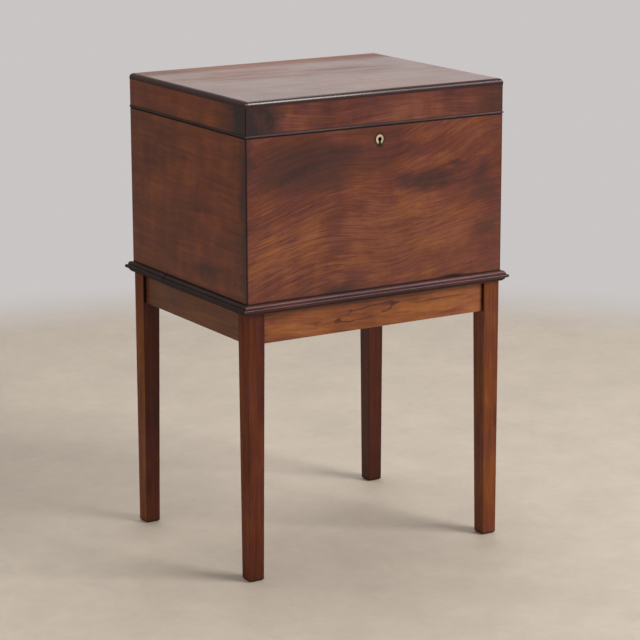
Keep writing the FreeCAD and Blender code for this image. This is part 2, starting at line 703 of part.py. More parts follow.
def lock_plate(holes):
    """Back plate and top plate in one, with a slot for each link."""
    back = box("lock_back", PLATE_X, (behind("lock_sheet"), FRONT_INSIDE), (f"{SEAM} - lock_drop", SEAM))
    top = box("lock_top", PLATE_X, (behind("selvedge_width"), FRONT_INSIDE), (f"{SEAM} - lock_sheet", SEAM))
    slots = [box("link_slot",
                 (f"{x} - link_thickness / 2 - link_play", f"{x} + link_thickness / 2 + link_play"),
                 (f"{LINK_Y} - link_width / 2 - link_play", f"{LINK_Y} + link_width / 2 + link_play"),
                 (f"{SEAM} - 2 * lock_sheet", f"{SEAM} + lock_sheet")) for x in LINK_X]
    piece(cut("lock_plate", fuse("lock_plates", [back, top]), slots + holes), "lock_plate")


def lock_cap():
    """The cover of the lock, open behind, with two ledges that the bolt slides on."""
    cavity_x = about_lock("(cap_width / 2 - cap_sheet)")
    cavity_y = (behind("(cap_depth - cap_sheet)"), behind("lock_sheet"))
    shell = box("cap_outside", CAP_X, (behind("cap_depth"), behind("lock_sheet")),
                (f"{SEAM} - cap_drop", f"{SEAM} - lock_sheet"))
    cavity = box("cap_inside", cavity_x, cavity_y, (f"{SEAM} - cap_drop + cap_sheet", SEAM))
    opening = keyhole("cap_keyhole", "0", behind("cap_depth / 2"), "cap_depth")
    ledge_z = (f"{BOLT_LOW} - bolt_play - cap_sheet", f"{BOLT_LOW} - bolt_play")
    ledges = [box("bolt_ledge_left", (cavity_x[0], LINK_X[0]), cavity_y, ledge_z),
              box("bolt_ledge_right", (LINK_X[1], cavity_x[1]), cavity_y, ledge_z)]
    piece(fuse("lock_cap", [cut("cap_hollow", shell, [cavity, opening])] + ledges), "lock_cap")


def bolt():
    """The bolt, drawn back: a bar with a notch for the key and a hooked finger for each link."""
    owner = body("lock_bolt")
    plane = f"-{LINK_Y}"
    left_of_link = [f"({x} - link_thickness / 2)" for x in LINK_X]
    post_right = [f"({edge} - bolt_play - bolt_travel)" for edge in left_of_link]
    post_left = [f"({edge} - bolt_post)" for edge in post_right]
    bar_right = f"({CAP_X[1]} - cap_sheet - bolt_play - bolt_travel)"
    notch = "(lock_offset - bolt_travel / 2)"
    bar = [
        (post_left[0], BOLT_LOW), (f"{notch} - talon_width / 2", BOLT_LOW),
        (f"{notch} - talon_width / 2", f"{BOLT_LOW} + talon_depth"),
        (f"{notch} + talon_width / 2", f"{BOLT_LOW} + talon_depth"),
        (f"{notch} + talon_width / 2", BOLT_LOW), (bar_right, BOLT_LOW),
        (bar_right, BOLT_TOP), (post_left[0], BOLT_TOP),
    ]
    pad(owner, outline(sketch(owner, "XZ_Plane", plane), bar),
        "cap_depth - cap_sheet - lock_sheet - 2 * bolt_play", both_ways=True)
    for edge, right, left in zip(left_of_link, post_right, post_left):
        tip = f"({edge} - finger_gap)"
        hook = [
            (left, f"{BOLT_TOP} - bolt_height / 2"), (right, f"{BOLT_TOP} - bolt_height / 2"),
            (right, FINGER_LOW), (tip, FINGER_LOW), (tip, f"{FINGER_LOW} + finger_height"),
            (left, f"{FINGER_LOW} + finger_height"),
        ]
        pad(owner, outline(sketch(owner, "XZ_Plane", plane), hook), "finger_thickness", both_ways=True)
    piece(owner, "lock_bolt")

    # A curved leaf on the bar bears up on the underside of the top plate.
    spring = body("bolt_spring")
    low, high = BOLT_TOP, f"({SEAM} - lock_sheet - bolt_play)"
    start = f"({post_left[1]} - spring_gap - spring_length)"
    end = f"({start} + spring_length)"
    rise = f"({high} - {low} - spring_sheet)"
    bend = f"((spring_length ^ 2 + {rise} ^ 2) / (2 * {rise}))"
    leaf = [
        (start, f"{low} + spring_sheet", bend, "right"), (start, low),
        (end, f"{high} - spring_sheet", bend), (end, high),
    ]
    pad(spring, outline(sketch(spring, "XZ_Plane", plane), leaf), "finger_thickness", both_ways=True)
    piece(spring, "bolt_spring")


def link(name, x):
    """One link: a tongue with a round foot and an eye that the bolt's finger enters."""
    owner = body(name)
    half = "(link_width / 2)"
    foot = f"({LID_LOW} - link_depth)"
    near, far = f"({LINK_Y} - {half})", f"({LINK_Y} + {half})"
    in_plate = f"({LID_LOW} + lock_sheet / 2)"
    drawing = outline(sketch(owner, "YZ_Plane", x), [
        (near, f"{foot} + {half}"), (LINK_Y, foot, half), (far, f"{foot} + {half}", half),
        (far, in_plate), (near, in_plate),
    ])
    eye = (f"{near} + link_wall", f"{far} - link_wall")
    outline(drawing, rectangle(eye, (EYE_LOW, f"{FINGER_LOW} + finger_height + link_play")))
    pad(owner, drawing, "link_thickness", both_ways=True)
    return owner


def escutcheon_outline(play):
    """The keyhole plate's outer line: slightly pointed above, and drawn in to a flat foot."""
    half, top = f"(escutcheon_half_width + {play})", f"(escutcheon_half_height + {play})"
    foot, toe = f"(escutcheon_foot + {play})", f"(escutcheon_toe + {play})"
    upper = f"(({half} ^ 2 + {top} ^ 2) / (2 * {half}))"
    lower = f"((({half} - {toe}) ^ 2 + {foot} ^ 2) / (2 * ({half} - {toe})))"
    (toe_left, toe_right), (left, right) = about_lock(toe), about_lock(half)
    return [
        (toe_left, f"{KEY_Z} - {foot}", lower), (toe_right, f"{KEY_Z} - {foot}"), (right, KEY_Z, lower),
        ("lock_offset", f"{KEY_Z} + {top}", upper), (left, KEY_Z, upper),
    ]


def escutcheon():
    owner = body("key_escutcheon")
    plane = f"{HALF_DEPTH} - escutcheon_depth"
    thickness = "escutcheon_depth + escutcheon_proud"
    pad(owner, outline(sketch(owner, "XZ_Plane", plane), escutcheon_outline("0")), thickness)
    front = f"{plane} + {thickness}"
    pocket(owner, circle(sketch(owner, "XZ_Plane", front), "lock_offset", KEY_Z, "key_round"), thickness)
    slit = rectangle(about_lock("key_slot / 2"), (f"{KEY_Z} - 2 * escutcheon_foot", KEY_Z))
    pocket(owner, outline(sketch(owner, "XZ_Plane", front), slit), thickness)
    foot = number(f"{KEY_Z} - escutcheon_foot")
    ease(owner, "Fillet", "Radius", "escutcheon_toe_round",
         lambda edge: lies_at(edge, "z", foot) and abs(edge.Vertexes[0].X - edge.Vertexes[-1].X) < 1e-6)
    piece(owner, "key_escutcheon")


def lock():
    """Everything in the front's lock, and what is cut from the wood of box and lid for it."""
    top, back, lid = lock_screw_spots()
    top_holes = screw_holes("lock_top", "lock", top, POINTS_DOWN)
    back_holes = screw_holes("lock_back", "lock", back, POINTS_FORWARD)
    lid_holes = screw_holes("link_plate", "lock", lid, POINTS_UP)
    lock_plate(top_holes + back_holes)
    lock_cap()
    piece(rod("lock_drill_pin", ("lock_offset", behind("lock_sheet"), KEY_Z), POINTS_FORWARD,
              "drill_pin", "drill_pin_length"), "lock_drill_pin")
    bolt()
    escutcheon()
    plate = box("link_plate_blank", PLATE_X, (behind("selvedge_width"), FRONT_INSIDE),
                (LID_LOW, f"{LID_LOW} + lock_sheet"))
    links = [link(f"link_{index}", x) for index, x in enumerate(LINK_X, start=1)]
    piece(cut("link_plate", fuse("link_plate_and_links", [plate] + links), lid_holes), "link_plate")
    piece(group("lock_screws", screws("lock_top_screw", "lock", top, POINTS_DOWN)
                + screws("lock_back_screw", "lock", back, POINTS_FORWARD)), "lock_screws")
    piece(group("link_plate_screws", screws("link_screw", "lock", lid, POINTS_UP)), "link_plate_screws")

    plate_x = about_lock("(lock_width / 2 + let_in_play)")
    cap_x = about_lock("(cap_width / 2 + let_in_play)")
    inside, above = f"{FRONT_INSIDE} + lock_sheet", f"{SEAM} + lock_sheet"
    seat = body("escutcheon_seat")
    pad(seat, outline(sketch(seat, "XZ_Plane", f"{HALF_DEPTH} - escutcheon_depth"),
                      escutcheon_outline("let_in_play")), "2 * escutcheon_depth")
    case_tools = [
        box("lock_back_recess", plate_x, (behind("lock_sheet"), inside),
            (f"{SEAM} - lock_drop - let_in_play", above)),
        box("lock_top_recess", plate_x, (behind("(selvedge_width + let_in_play)"), inside),
            (f"{SEAM} - lock_sheet", above)),
        box("cap_recess", cap_x, (behind("(cap_depth + let_in_play)"), inside),
            (f"{SEAM} - cap_drop - let_in_play", above)),
        keyhole("front_keyhole", "let_in_play", behind("cap_depth / 2"), "board"),
        seat,
    ]
    lid_tools = [box("link_plate_recess", plate_x, (behind("(selvedge_width + let_in_play)"), inside),
                     (SEAM, f"{LID_LOW} + lock_sheet"))]
    return case_tools + top_holes + back_holes, lid_tools + lid_holes


# ---------------------------------------------------------------- box and lid

def tongues(name, heights, play):
    """The loose tongue of each mitred corner, or with play the slot for it."""
    across, thick = f"(tongue_width + 2 * {play})", f"(tongue_thickness + 2 * {play})"
    made = []
    for corner, (_, side_x, side_y) in CORNERS.items():
        lean = side_x * side_y
        centre_x = f"{side_x} * ({HALF_WIDTH} - board / 2)"
        centre_y = f"{side_y} * ({HALF_DEPTH} - board / 2)"
        # Half of each side of the block, turned by 45 degrees either way.
        spot = (f"{centre_x} - ({across} + {lean} * {thick}) * sqrt(0.125)",
                f"{centre_y} + ({lean} * {across} - {thick}) * sqrt(0.125)",
                f"{heights[0]} - {play}")
        tongue = doc.addObject("Part::Box", f"{name}_{corner}")
        bind(tongue, "Length", across)
        bind(tongue, "Width", thick)
        bind(tongue, "Height", f"{heights[1]} - ({heights[0]}) + 2 * {play}")
        made.append(place(tongue, spot, about_z(-45 * lean)))
    return made


def inner_rectangle(let_in):
    """The opening inside the four boards, or with let_in the rebate round it."""
    half_width, half_depth = f"({INNER_WIDTH} / 2 + {let_in})", f"({INNER_DEPTH} / 2 + {let_in})"
    return rectangle((f"-{half_width}", half_width), (f"-{half_depth}", half_depth))


def rim(name, low, height):
    """The four mitred sides together, before they are parted at the mitres."""
    owner = body(name)
    pad(owner, outline(sketch(owner, "XY_Plane", low), rectangle(
        (f"-{HALF_WIDTH}", HALF_WIDTH), (f"-{HALF_DEPTH}", HALF_DEPTH))), height)
    ease(owner, "Fillet", "Radius", "corner_round", upright)
    inside = outline(sketch(owner, "XY_Plane", f"{low} + {height}"), inner_rectangle("0"))
    pocket(owner, inside, height)
    return owner


def part_at_mitres(name, whole):
    for side, keep in FIELDS.items():
        piece(common(f"{name}_{side}", whole, keep), f"{name}_{side}")


COLUMNS, ROWS = round(number("bottle_columns")), round(number("bottle_rows"))


def cell_line(inside, count, step):
    """A place counted in cells from one end: a whole step is a division, and a half is the
    middle of a cell."""
    return f"(({step} / {count} - 0.5) * ({inside} + divider))"


def divider(name, plane, half_run, crossings, notch_from, spot):
    """A division halved over the ones that it crosses, from above or from below."""
    owner = body(name)
    low, high = FLOOR, f"({FLOOR} + divider_height)"
    middle = f"({FLOOR} + divider_height / 2)"
    half_slot = "(divider / 2 + slip)"
    notched, whole = (high, low) if notch_from == "above" else (low, high)
    corners = [(half_run, notched), (half_run, whole), (f"-{half_run}", whole), (f"-{half_run}", notched)]
    for crossing in crossings:
        corners += [(f"{crossing} - {half_slot}", notched), (f"{crossing} - {half_slot}", middle),
                    (f"{crossing} + {half_slot}", middle), (f"{crossing} + {half_slot}", notched)]
    pad(owner, outline(sketch(owner, plane), corners), "divider", both_ways=True)
    top, narrow = number(high), 2 * number("divider")
    ease(owner, "Chamfer", "Size", "divider_edge",
         lambda edge: lies_at(edge, "z", top) and edge.Length > narrow)
    return piece(place(owner, spot), name)


def dividers():
    """Cross and long divisions, halved together, and the grooves that hold their ends."""
    across = [cell_line(INNER_WIDTH, COLUMNS, step) for step in range(1, COLUMNS)]
    along = [cell_line(INNER_DEPTH, ROWS, step) for step in range(1, ROWS)]
    half_width = f"({INNER_WIDTH} / 2 + housing)"
    half_depth = f"({INNER_DEPTH} / 2 + housing)"
    half_groove = "(divider / 2 + slip)"
    heights = (FLOOR, f"{FLOOR} + divider_height + slip")
    grooves = []
    for index, x in enumerate(across, start=1):
        divider(f"cross_divider_{index}", "YZ_Plane", half_depth, along, "above", (x, "0", "0"))
        grooves.append(box("cross_groove", (f"{x} - {half_groove}", f"{x} + {half_groove}"),
                           (f"-({half_depth} + slip)", f"{half_depth} + slip"), heights))
    for index, y in enumerate(along, start=1):
        divider(f"long_divider_{index}", "XZ_Plane", half_width, across, "below", ("0", y, "0"))
        grooves.append(box("long_groove", (f"-({half_width} + slip)", f"{half_width} + slip"),
                           (f"{y} - {half_groove}", f"{y} + {half_groove}"), heights))
    return grooves


def bottom_brads(name, play):
    """Cut brads up through the rebated edge of the bottom into the four sides, one to a cell,
    or with play the holes for them."""
    along, across = f"(brad_long / 2 + {play})", f"(brad_wide / 2 + {play})"
    edge = "(board - bottom_rebate / 2)"
    heights = ("stand_height", f"stand_height + brad_length + {play}")
    brads = []

    def drive(x, y, half_x, half_y):
        brads.append(box(name, (f"{x} - {half_x}", f"{x} + {half_x}"),
                         (f"{y} - {half_y}", f"{y} + {half_y}"), heights))

    for side in (-1, 1):
        for step in range(COLUMNS):
            middle = cell_line(INNER_WIDTH, COLUMNS, step + 0.5)
            drive(middle, f"{side} * ({HALF_DEPTH} - {edge})", along, across)
        for step in range(ROWS):
            middle = cell_line(INNER_DEPTH, ROWS, step + 0.5)
            drive(f"{side} * ({HALF_WIDTH} - {edge})", middle, across, along)
    return brads


def case(fittings):
    shell = rim("case_rim", "stand_height", "case_height")
    seam = number(SEAM)
    half_inside, half_across = number(f"{INNER_WIDTH} / 2"), number(f"{INNER_DEPTH} / 2")
    ease(shell, "Chamfer", "Size", "seam_ease", lambda edge: lies_at(edge, "z", seam) and any(
        abs(end.X) > half_inside + 1 or abs(end.Y) > half_across + 1 for end in edge.Vertexes))
    rebate = outline(sketch(shell, "XY_Plane", FLOOR), inner_rectangle("bottom_rebate + slip"))
    pocket(shell, rebate, "bottom_board")
    holes = bottom_brads("brad_hole", "brad_play")
    tongue_heights = (f"{FLOOR} + tongue_stop", f"{SEAM} - tongue_stop")
    slots = tongues("case_slot", tongue_heights, "slip")
    grooves = dividers()
    part_at_mitres("case", cut("case_sides", shell, slots + grooves + holes + fittings))
    board = body("bottom_blank")
    underside = outline(sketch(board, "XY_Plane", "stand_height"), inner_rectangle("bottom_rebate"))
    pad(board, underside, "bottom_board")
    piece(cut("case_bottom", board, holes), "case_bottom")
    piece(group("case_tongues", tongues("case_tongue", tongue_heights, "0")), "case_tongues")
    piece(group("bottom_brads", bottom_brads("bottom_brad", "0")), "bottom_brads")


def lid_bead(side, keep):
    """A round-nosed strip let into the lower edge of the lid."""
    degrees, run, face = SIDES[side]
    owner = body(f"bead_length_{side}")
    nose = "((lid_bead ^ 2 / 4 + lid_bead_proud ^ 2) / (2 * lid_bead_proud))"
    top = f"{LID_LOW} + lid_bead"
    pad(owner, outline(sketch(owner, "YZ_Plane"), [
        (f"-({face} - lid_bead_depth)", LID_LOW), (f"-({face} - lid_bead_depth)", top),
        (f"-{face}", top), (f"-{face}", LID_LOW, nose),
    ]), f"{run} + 2 * {MITRE_OUT}", both_ways=True)
    place(owner, ("0", "0", "0"), about_z(degrees))
    piece(common(f"lid_bead_{side}", owner, keep), f"lid_bead_{side}")


def lid(fittings):
    height = "(lid_height - top_board - seam_gap)"
    shell = rim("lid_rim", LID_LOW, height)
    # The bead's rebate runs along the front and both ends, not along the hinged back.
    inner_x, inner_y = f"({HALF_WIDTH} - lid_bead_depth)", f"({HALF_DEPTH} - lid_bead_depth)"
    outer_x, outer_y = f"({HALF_WIDTH} + lid_bead_depth)", f"({HALF_DEPTH} + lid_bead_depth)"
    rebate = [
        (f"-{outer_x}", outer_y), (f"-{outer_x}", f"-{outer_y}"),
        (outer_x, f"-{outer_y}"), (outer_x, outer_y),
        (inner_x, outer_y), (inner_x, f"-{inner_y}"),
        (f"-{inner_x}", f"-{inner_y}"), (f"-{inner_x}", outer_y),
    ]
    pocket(shell, outline(sketch(shell, "XY_Plane", f"{LID_LOW} + lid_bead"), rebate), "lid_bead")
    tongue_heights = (f"{LID_LOW} + tongue_stop", f"{LID_UNDERSIDE} - tongue_stop")
    slots = tongues("lid_slot", tongue_heights, "slip")
    part_at_mitres("lid", cut("lid_sides", shell, slots + fittings))
    piece(group("lid_tongues", tongues("lid_tongue", tongue_heights, "0")), "lid_tongues")
    lid_bead("front", FIELDS["front"])
    for side, hand in (("left", -1), ("right", 1)):
        lid_bead(side, field(f"bead_field_{side}", [
            (f"{hand} * ({HALF_WIDTH} + {MITRE_OUT})", f"-({HALF_DEPTH} + {MITRE_OUT})"),
            (f"{hand} * ({HALF_WIDTH} - {MITRE_IN})", f"-({HALF_DEPTH} - {MITRE_IN})"),
            (f"{hand} * ({HALF_WIDTH} - {MITRE_IN})", HALF_DEPTH),
            (f"{hand} * ({HALF_WIDTH} + {MITRE_OUT})", HALF_DEPTH),
        ]))
    top = body("lid_top")
    pad(top, outline(sketch(top, "XY_Plane", LID_UNDERSIDE), rectangle(
        (f"-{HALF_WIDTH}", HALF_WIDTH), (f"-{HALF_DEPTH}", HALF_DEPTH))), "top_board")
    crown = number(f"{SEAM} + lid_height")
    ease(top, "Fillet", "Radius", "top_edge_round", lambda edge: lies_at(edge, "z", crown))
    piece(top, "lid_top")


# ---------------------------------------------------------------- the whole object

stand()
case_hinge_cuts, lid_hinge_cuts = hinges()
case_lock_cuts, lid_lock_cuts = lock()
case(case_hinge_cuts + case_lock_cuts)
lid(lid_hinge_cuts + lid_lock_cuts)
doc.recompute()

for thing in doc.Objects:
    if "Invalid" in thing.State or "Error" in thing.State:
        raise ValueError(f"{thing.Label} is in state {thing.State}")
for thing in PIECES:
    if thing.Shape.isNull() or not thing.Shape.isValid() or not thing.Shape.Solids:
        raise ValueError(f"{thing.Label} has no valid solid")

os.makedirs("parts", exist_ok=True)
for thing in PIECES:
    thing.Shape.exportStep(f"parts/{thing.Label}.step")
    print(thing.Label, len(thing.Shape.Solids), round(thing.Shape.Volume / 1000, 2))
print(len(PIECES), "pieces")
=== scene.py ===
import functools
import math

import bmesh
import bpy
from mathutils import Matrix, Vector


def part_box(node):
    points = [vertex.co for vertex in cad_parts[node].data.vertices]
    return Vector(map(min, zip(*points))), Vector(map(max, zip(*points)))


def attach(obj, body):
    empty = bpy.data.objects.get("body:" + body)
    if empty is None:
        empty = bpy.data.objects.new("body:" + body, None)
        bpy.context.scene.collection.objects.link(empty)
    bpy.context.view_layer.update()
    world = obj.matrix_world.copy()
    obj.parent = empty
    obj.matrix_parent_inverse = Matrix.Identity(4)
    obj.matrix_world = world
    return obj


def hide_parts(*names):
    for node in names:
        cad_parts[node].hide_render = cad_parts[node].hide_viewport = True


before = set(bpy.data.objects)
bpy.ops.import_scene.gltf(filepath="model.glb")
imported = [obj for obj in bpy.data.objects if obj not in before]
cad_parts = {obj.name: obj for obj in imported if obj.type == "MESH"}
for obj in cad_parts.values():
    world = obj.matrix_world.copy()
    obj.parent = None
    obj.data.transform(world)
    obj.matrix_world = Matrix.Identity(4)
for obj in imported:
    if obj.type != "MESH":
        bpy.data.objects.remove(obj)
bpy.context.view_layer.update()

# A mahogany cellarette on its stand, dressed round the imported frame.
# Metres. +Z is up, the front faces -Y, and the origin is on the floor under the middle.

# Where the CAD pieces are, for the soiling, the painted shade and the wear that follow them.
case_low, case_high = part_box("case_left")[0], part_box("case_right")[1]
HALF_WIDTH, HALF_DEPTH = case_high.x, -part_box("case_front")[0].y
SEAM, CASE_FOOT = case_high.z, case_low.z
LID_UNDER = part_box("lid_top")[0].z
LEG_OUTER_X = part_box("leg_back_left")[0].x
RAIL_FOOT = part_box("rail_front")[0].z
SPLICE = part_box("moulding_left_rear")[0].y
INTO_LOCK = 0.0012      # how deep in the lock's back plate the keyhole's painted shade ends
LOCK_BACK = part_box("lock_plate")[1].y - INTO_LOCK
BOARD, MOULDING_LIP = 0.015, 0.0075
LEG_INNER_X, LEG_INNER_Y = 0.2082, 0.1602
KEY_X, KEY_Z = 0.003, 0.693


# ---------------------------------------------------------------- node trees

class Tree:
    """The node tree of a material or world, built from short calls that return output sockets."""

    def __init__(self, owner):
        self.owner = owner
        owner.use_nodes = True
        self.tree = owner.node_tree
        self.tree.nodes.clear()

    @functools.cached_property
    def place(self):
        """A point's place in metres, which moves with its body."""
        return self.node("TexCoord").outputs["Object"]

    def node(self, kind, **settings):
        made = self.tree.nodes.new("ShaderNode" + kind)
        for key, value in settings.items():
            setattr(made, key, value)
        return made

    def put(self, value, socket):
        """Links a socket to another, or sets its number, vector or colour."""
        if isinstance(value, bpy.types.NodeSocket):
            self.tree.links.new(value, socket)
        elif socket.type == "RGBA" and len(value) == 3:
            socket.default_value = (*value, 1.0)
        else:
            socket.default_value = value

    def fill(self, made, *values):
        """Puts the values into a node's first inputs, and returns its first output."""
        for value, socket in zip(values, made.inputs):
            self.put(value, socket)
        return made.outputs[0]

    def math(self, operation, *values, clamp=False):
        return self.fill(self.node("Math", operation=operation, use_clamp=clamp), *values)

    def chain(self, operation, first, *others):
        """The operation on the first two values, then on its result and the next, and so on."""
        for value in others:
            first = self.math(operation, first, value)
        return first

    def plus(self, *values):
        return self.chain("ADD", *values)

    def minus(self, value, taken):
        return self.math("SUBTRACT", value, taken)

    def times(self, *values):
        return self.chain("MULTIPLY", *values)

    def most(self, *values):
        return self.chain("MAXIMUM", *values)

    def absolute(self, value):
        return self.math("ABSOLUTE", value)

    def below(self, value, limit):
        """1 where the value is under the limit, 0 elsewhere."""
        return self.math("LESS_THAN", value, limit)

    def above(self, value, limit):
        """1 where the value is over the limit, 0 elsewhere."""
        return self.math("GREATER_THAN", value, limit)

    def vector(self, operation, *values):
        return self.fill(self.node("VectorMath", operation=operation), *values)

    def split(self, vector):
        made = self.node("SeparateXYZ")
        self.put(vector, made.inputs[0])
        return made.outputs

    def join(self, x, y, z):
        return self.fill(self.node("CombineXYZ"), x, y, z)

    def noise(self, vector, scale, detail=3.0, roughness=0.5, distortion=0.0, colour=False):
        """Noise whose scale is given for each axis, in waves per metre."""
        made = self.node("TexNoise")
        self.put(self.vector("MULTIPLY", vector, scale), made.inputs["Vector"])
        made.inputs["Scale"].default_value = 1.0
        made.inputs["Detail"].default_value = detail
        made.inputs["Roughness"].default_value = roughness
        made.inputs["Distortion"].default_value = distortion
        return made.outputs["Color" if colour else "Fac"]

    def wander(self, vector, scale, reach, **settings):
        """A vector that wanders to either side of zero, by the reach on each axis."""
        drift = self.vector("SUBTRACT", self.noise(vector, scale, colour=True, **settings), (0.5, 0.5, 0.5))
        return self.vector("MULTIPLY", drift, reach)

    def span(self, value, low, high, to_low=0.0, to_high=1.0):
        """The value's stretch from low to high, spread smoothly from to_low to to_high."""
        made = self.node("MapRange", interpolation_type="SMOOTHSTEP")
        return self.fill(made, value, low, high, to_low, to_high)

    def near(self, value, line, reach):
        """1 on a line, 0 further from it than the reach."""
        return self.span(self.absolute(self.minus(value, line)), reach, 0.0)

    def squared_reach(self, x, z, centre, reach):
        """0 in the middle of an oval and 1 on its line."""
        across = self.math("DIVIDE", self.minus(x, centre[0]), reach[0])
        up = self.math("DIVIDE", self.minus(z, centre[1]), reach[1])
        return self.plus(self.times(across, across), self.times(up, up))

    def oval(self, x, z, centre, reach):
        """1 in the middle of a soft oval, 0 outside it."""
        return self.span(self.squared_reach(x, z, centre, reach), 1.0, 0.0)

    def add_ovals(self, value, x, z, ovals):
        """The value, raised or lowered in each soft oval by its amount."""
        for centre, reach, amount in ovals:
            value = self.plus(value, self.times(self.oval(x, z, centre, reach), amount))
        return value

    def ramp(self, value, *stops):
        made = self.node("ValToRGB")
        elements = made.color_ramp.elements
        while len(elements) < len(stops):
            elements.new(0.5)
        for element, (position, colour) in zip(elements, stops):
            element.position = position
            element.color = (*colour, 1.0)
        return self.fill(made, value)

    def mix(self, factor, a, b, blend="MIX"):
        made = self.node("Mix", data_type="RGBA", blend_type=blend)
        self.put(factor, made.inputs[0])
        self.put(a, made.inputs[6])
        self.put(b, made.inputs[7])
        return made.outputs[2]

    def shade(self, colour, factor):
        """The colour times a number."""
        return self.mix(1.0, colour, self.join(factor, factor, factor), "MULTIPLY")

    def bump(self, height, distance, strength, under=None):
        made = self.node("Bump")
        made.inputs["Strength"].default_value = strength
        made.inputs["Distance"].default_value = distance
        self.put(height, made.inputs["Height"])
        if under is not None:
            self.put(under, made.inputs["Normal"])
        return made.outputs[0]

    def principled(self, colour, roughness, normal, coat=0.0, **uniform):
        """A Principled shader. Numbers that are the same all over go straight on its sockets."""
        shader = self.node("BsdfPrincipled")
        for key, value in uniform.items():
            shader.inputs[key.replace("_", " ")].default_value = value
        self.put(colour, shader.inputs["Base Color"])
        self.put(roughness, shader.inputs["Roughness"])
        self.put(normal, shader.inputs["Normal"])
        self.put(coat, shader.inputs["Coat Weight"])
        return shader.outputs[0]

    def finish(self, surface, kind="OutputMaterial"):
        """Ends the tree in that shader, and returns its material or world."""
        self.put(surface, self.node(kind).inputs["Surface"])
        return self.owner


# ---------------------------------------------------------------- colours

# Linear colours. The threes run from dark to light.
RED = ((0.056, 0.015, 0.012), (0.138, 0.034, 0.017), (0.250, 0.080, 0.027))
ROSE = ((0.056, 0.015, 0.013), (0.140, 0.038, 0.024), (0.240, 0.082, 0.044))
BROWN = ((0.066, 0.016, 0.006), (0.158, 0.040, 0.012), (0.265, 0.074, 0.018))
LEFT_BROWN = ((0.070, 0.016, 0.007), (0.168, 0.038, 0.013), (0.275, 0.070, 0.021))
TOP = ((0.050, 0.014, 0.009), (0.165, 0.052, 0.026), (0.310, 0.130, 0.066))
LEG = ((0.038, 0.007, 0.004), (0.090, 0.018, 0.007), (0.150, 0.036, 0.011))
# A darker copy of LEG for the back legs: painted shade under the case.
SHADED_BACK_LEG = ((0.030, 0.005, 0.003), (0.070, 0.014, 0.005), (0.110, 0.026, 0.008))
RUSSET = ((0.066, 0.015, 0.005), (0.155, 0.038, 0.011), (0.235, 0.072, 0.019))
ORANGE = ((0.080, 0.018, 0.007), (0.232, 0.066, 0.019), (0.360, 0.132, 0.036))
OLIVE = ((0.072, 0.020, 0.007), (0.158, 0.049, 0.014), (0.240, 0.086, 0.025))
DUSK = ((0.030, 0.007, 0.007), (0.070, 0.017, 0.015), (0.120, 0.032, 0.026))
# A darker copy of the moulding colours for the side mouldings and side beads: painted shade on the sides.
SHADED_SIDE_DUSK = ((0.011, 0.005, 0.003), (0.026, 0.010, 0.006), (0.055, 0.021, 0.011))
BEAD = ((0.045, 0.024, 0.023), (0.085, 0.050, 0.046), (0.125, 0.078, 0.070))
PINE = ((0.200, 0.100, 0.045), (0.330, 0.190, 0.095), (0.420, 0.270, 0.150))
BRASS = ((0.16, 0.10, 0.04), (0.50, 0.35, 0.16), (0.72, 0.55, 0.30))
PALE_BRASS = ((0.28, 0.20, 0.11), (0.62, 0.50, 0.33), (0.85, 0.74, 0.54))
IRON = ((0.05, 0.045, 0.04), (0.20, 0.19, 0.18), (0.36, 0.35, 0.34))
# The colour the marks darken to: painted shade in seams, crevices and the keyhole, and darker wood and soiling
# elsewhere.
GRIME_AND_SHADE = (0.006, 0.004, 0.0035)
# The colour of the lid top's rounded edges: painted shade.
EDGE_SHADE_COLOUR = (0.018, 0.005, 0.006)
SMOKE = (0.026, 0.014, 0.015)
WARM_TINT, COOL_TINT = (1.05, 1.07, 0.72), (0.94, 0.90, 1.35)
BACKDROP = (0.585, 0.560, 0.555)
FLOOR_NEAR = (0.585, 0.505, 0.415)
DAYLIGHT = (1.0, 0.985, 0.97)


# ---------------------------------------------------------------- wood

# The numbers of the three axes along the grain, across it, and into the board.
AXES = {"X": (0, 2, 1), "Y": (1, 2, 0), "Z": (2, 0, 1), "X_flat": (0, 1, 2)}
FIGURE_GAIN = 3.4       # mixed noise keeps close to its middle, and this spreads it over the colours
RING_TURNS = 62.0       # radians of growth rings from the lowest noise to the highest
PORE_SHADE = 0.35
BARE_ROUGHER, DIRT_ROUGHER = 0.25, 0.35


def closed_line(tree, grain, along, across, centre, reach, slope, amount):
    """A line of growth that closes on itself: a shaken oval that climbs by the slope and is faint in parts."""
    rise = tree.times(tree.minus(along, centre[0]), slope)
    shake = tree.minus(tree.times(tree.noise(grain, (38.0, 70.0, 70.0)), 2.4), 1.2)
    ring = tree.plus(tree.squared_reach(along, tree.minus(across, rise), centre, reach), shake)
    faint = tree.span(tree.noise(grain, (45.0, 60.0, 60.0), detail=2.0), 0.35, 0.60, 0.15, amount)
    return tree.times(tree.near(ring, 1.0, 0.38), faint)


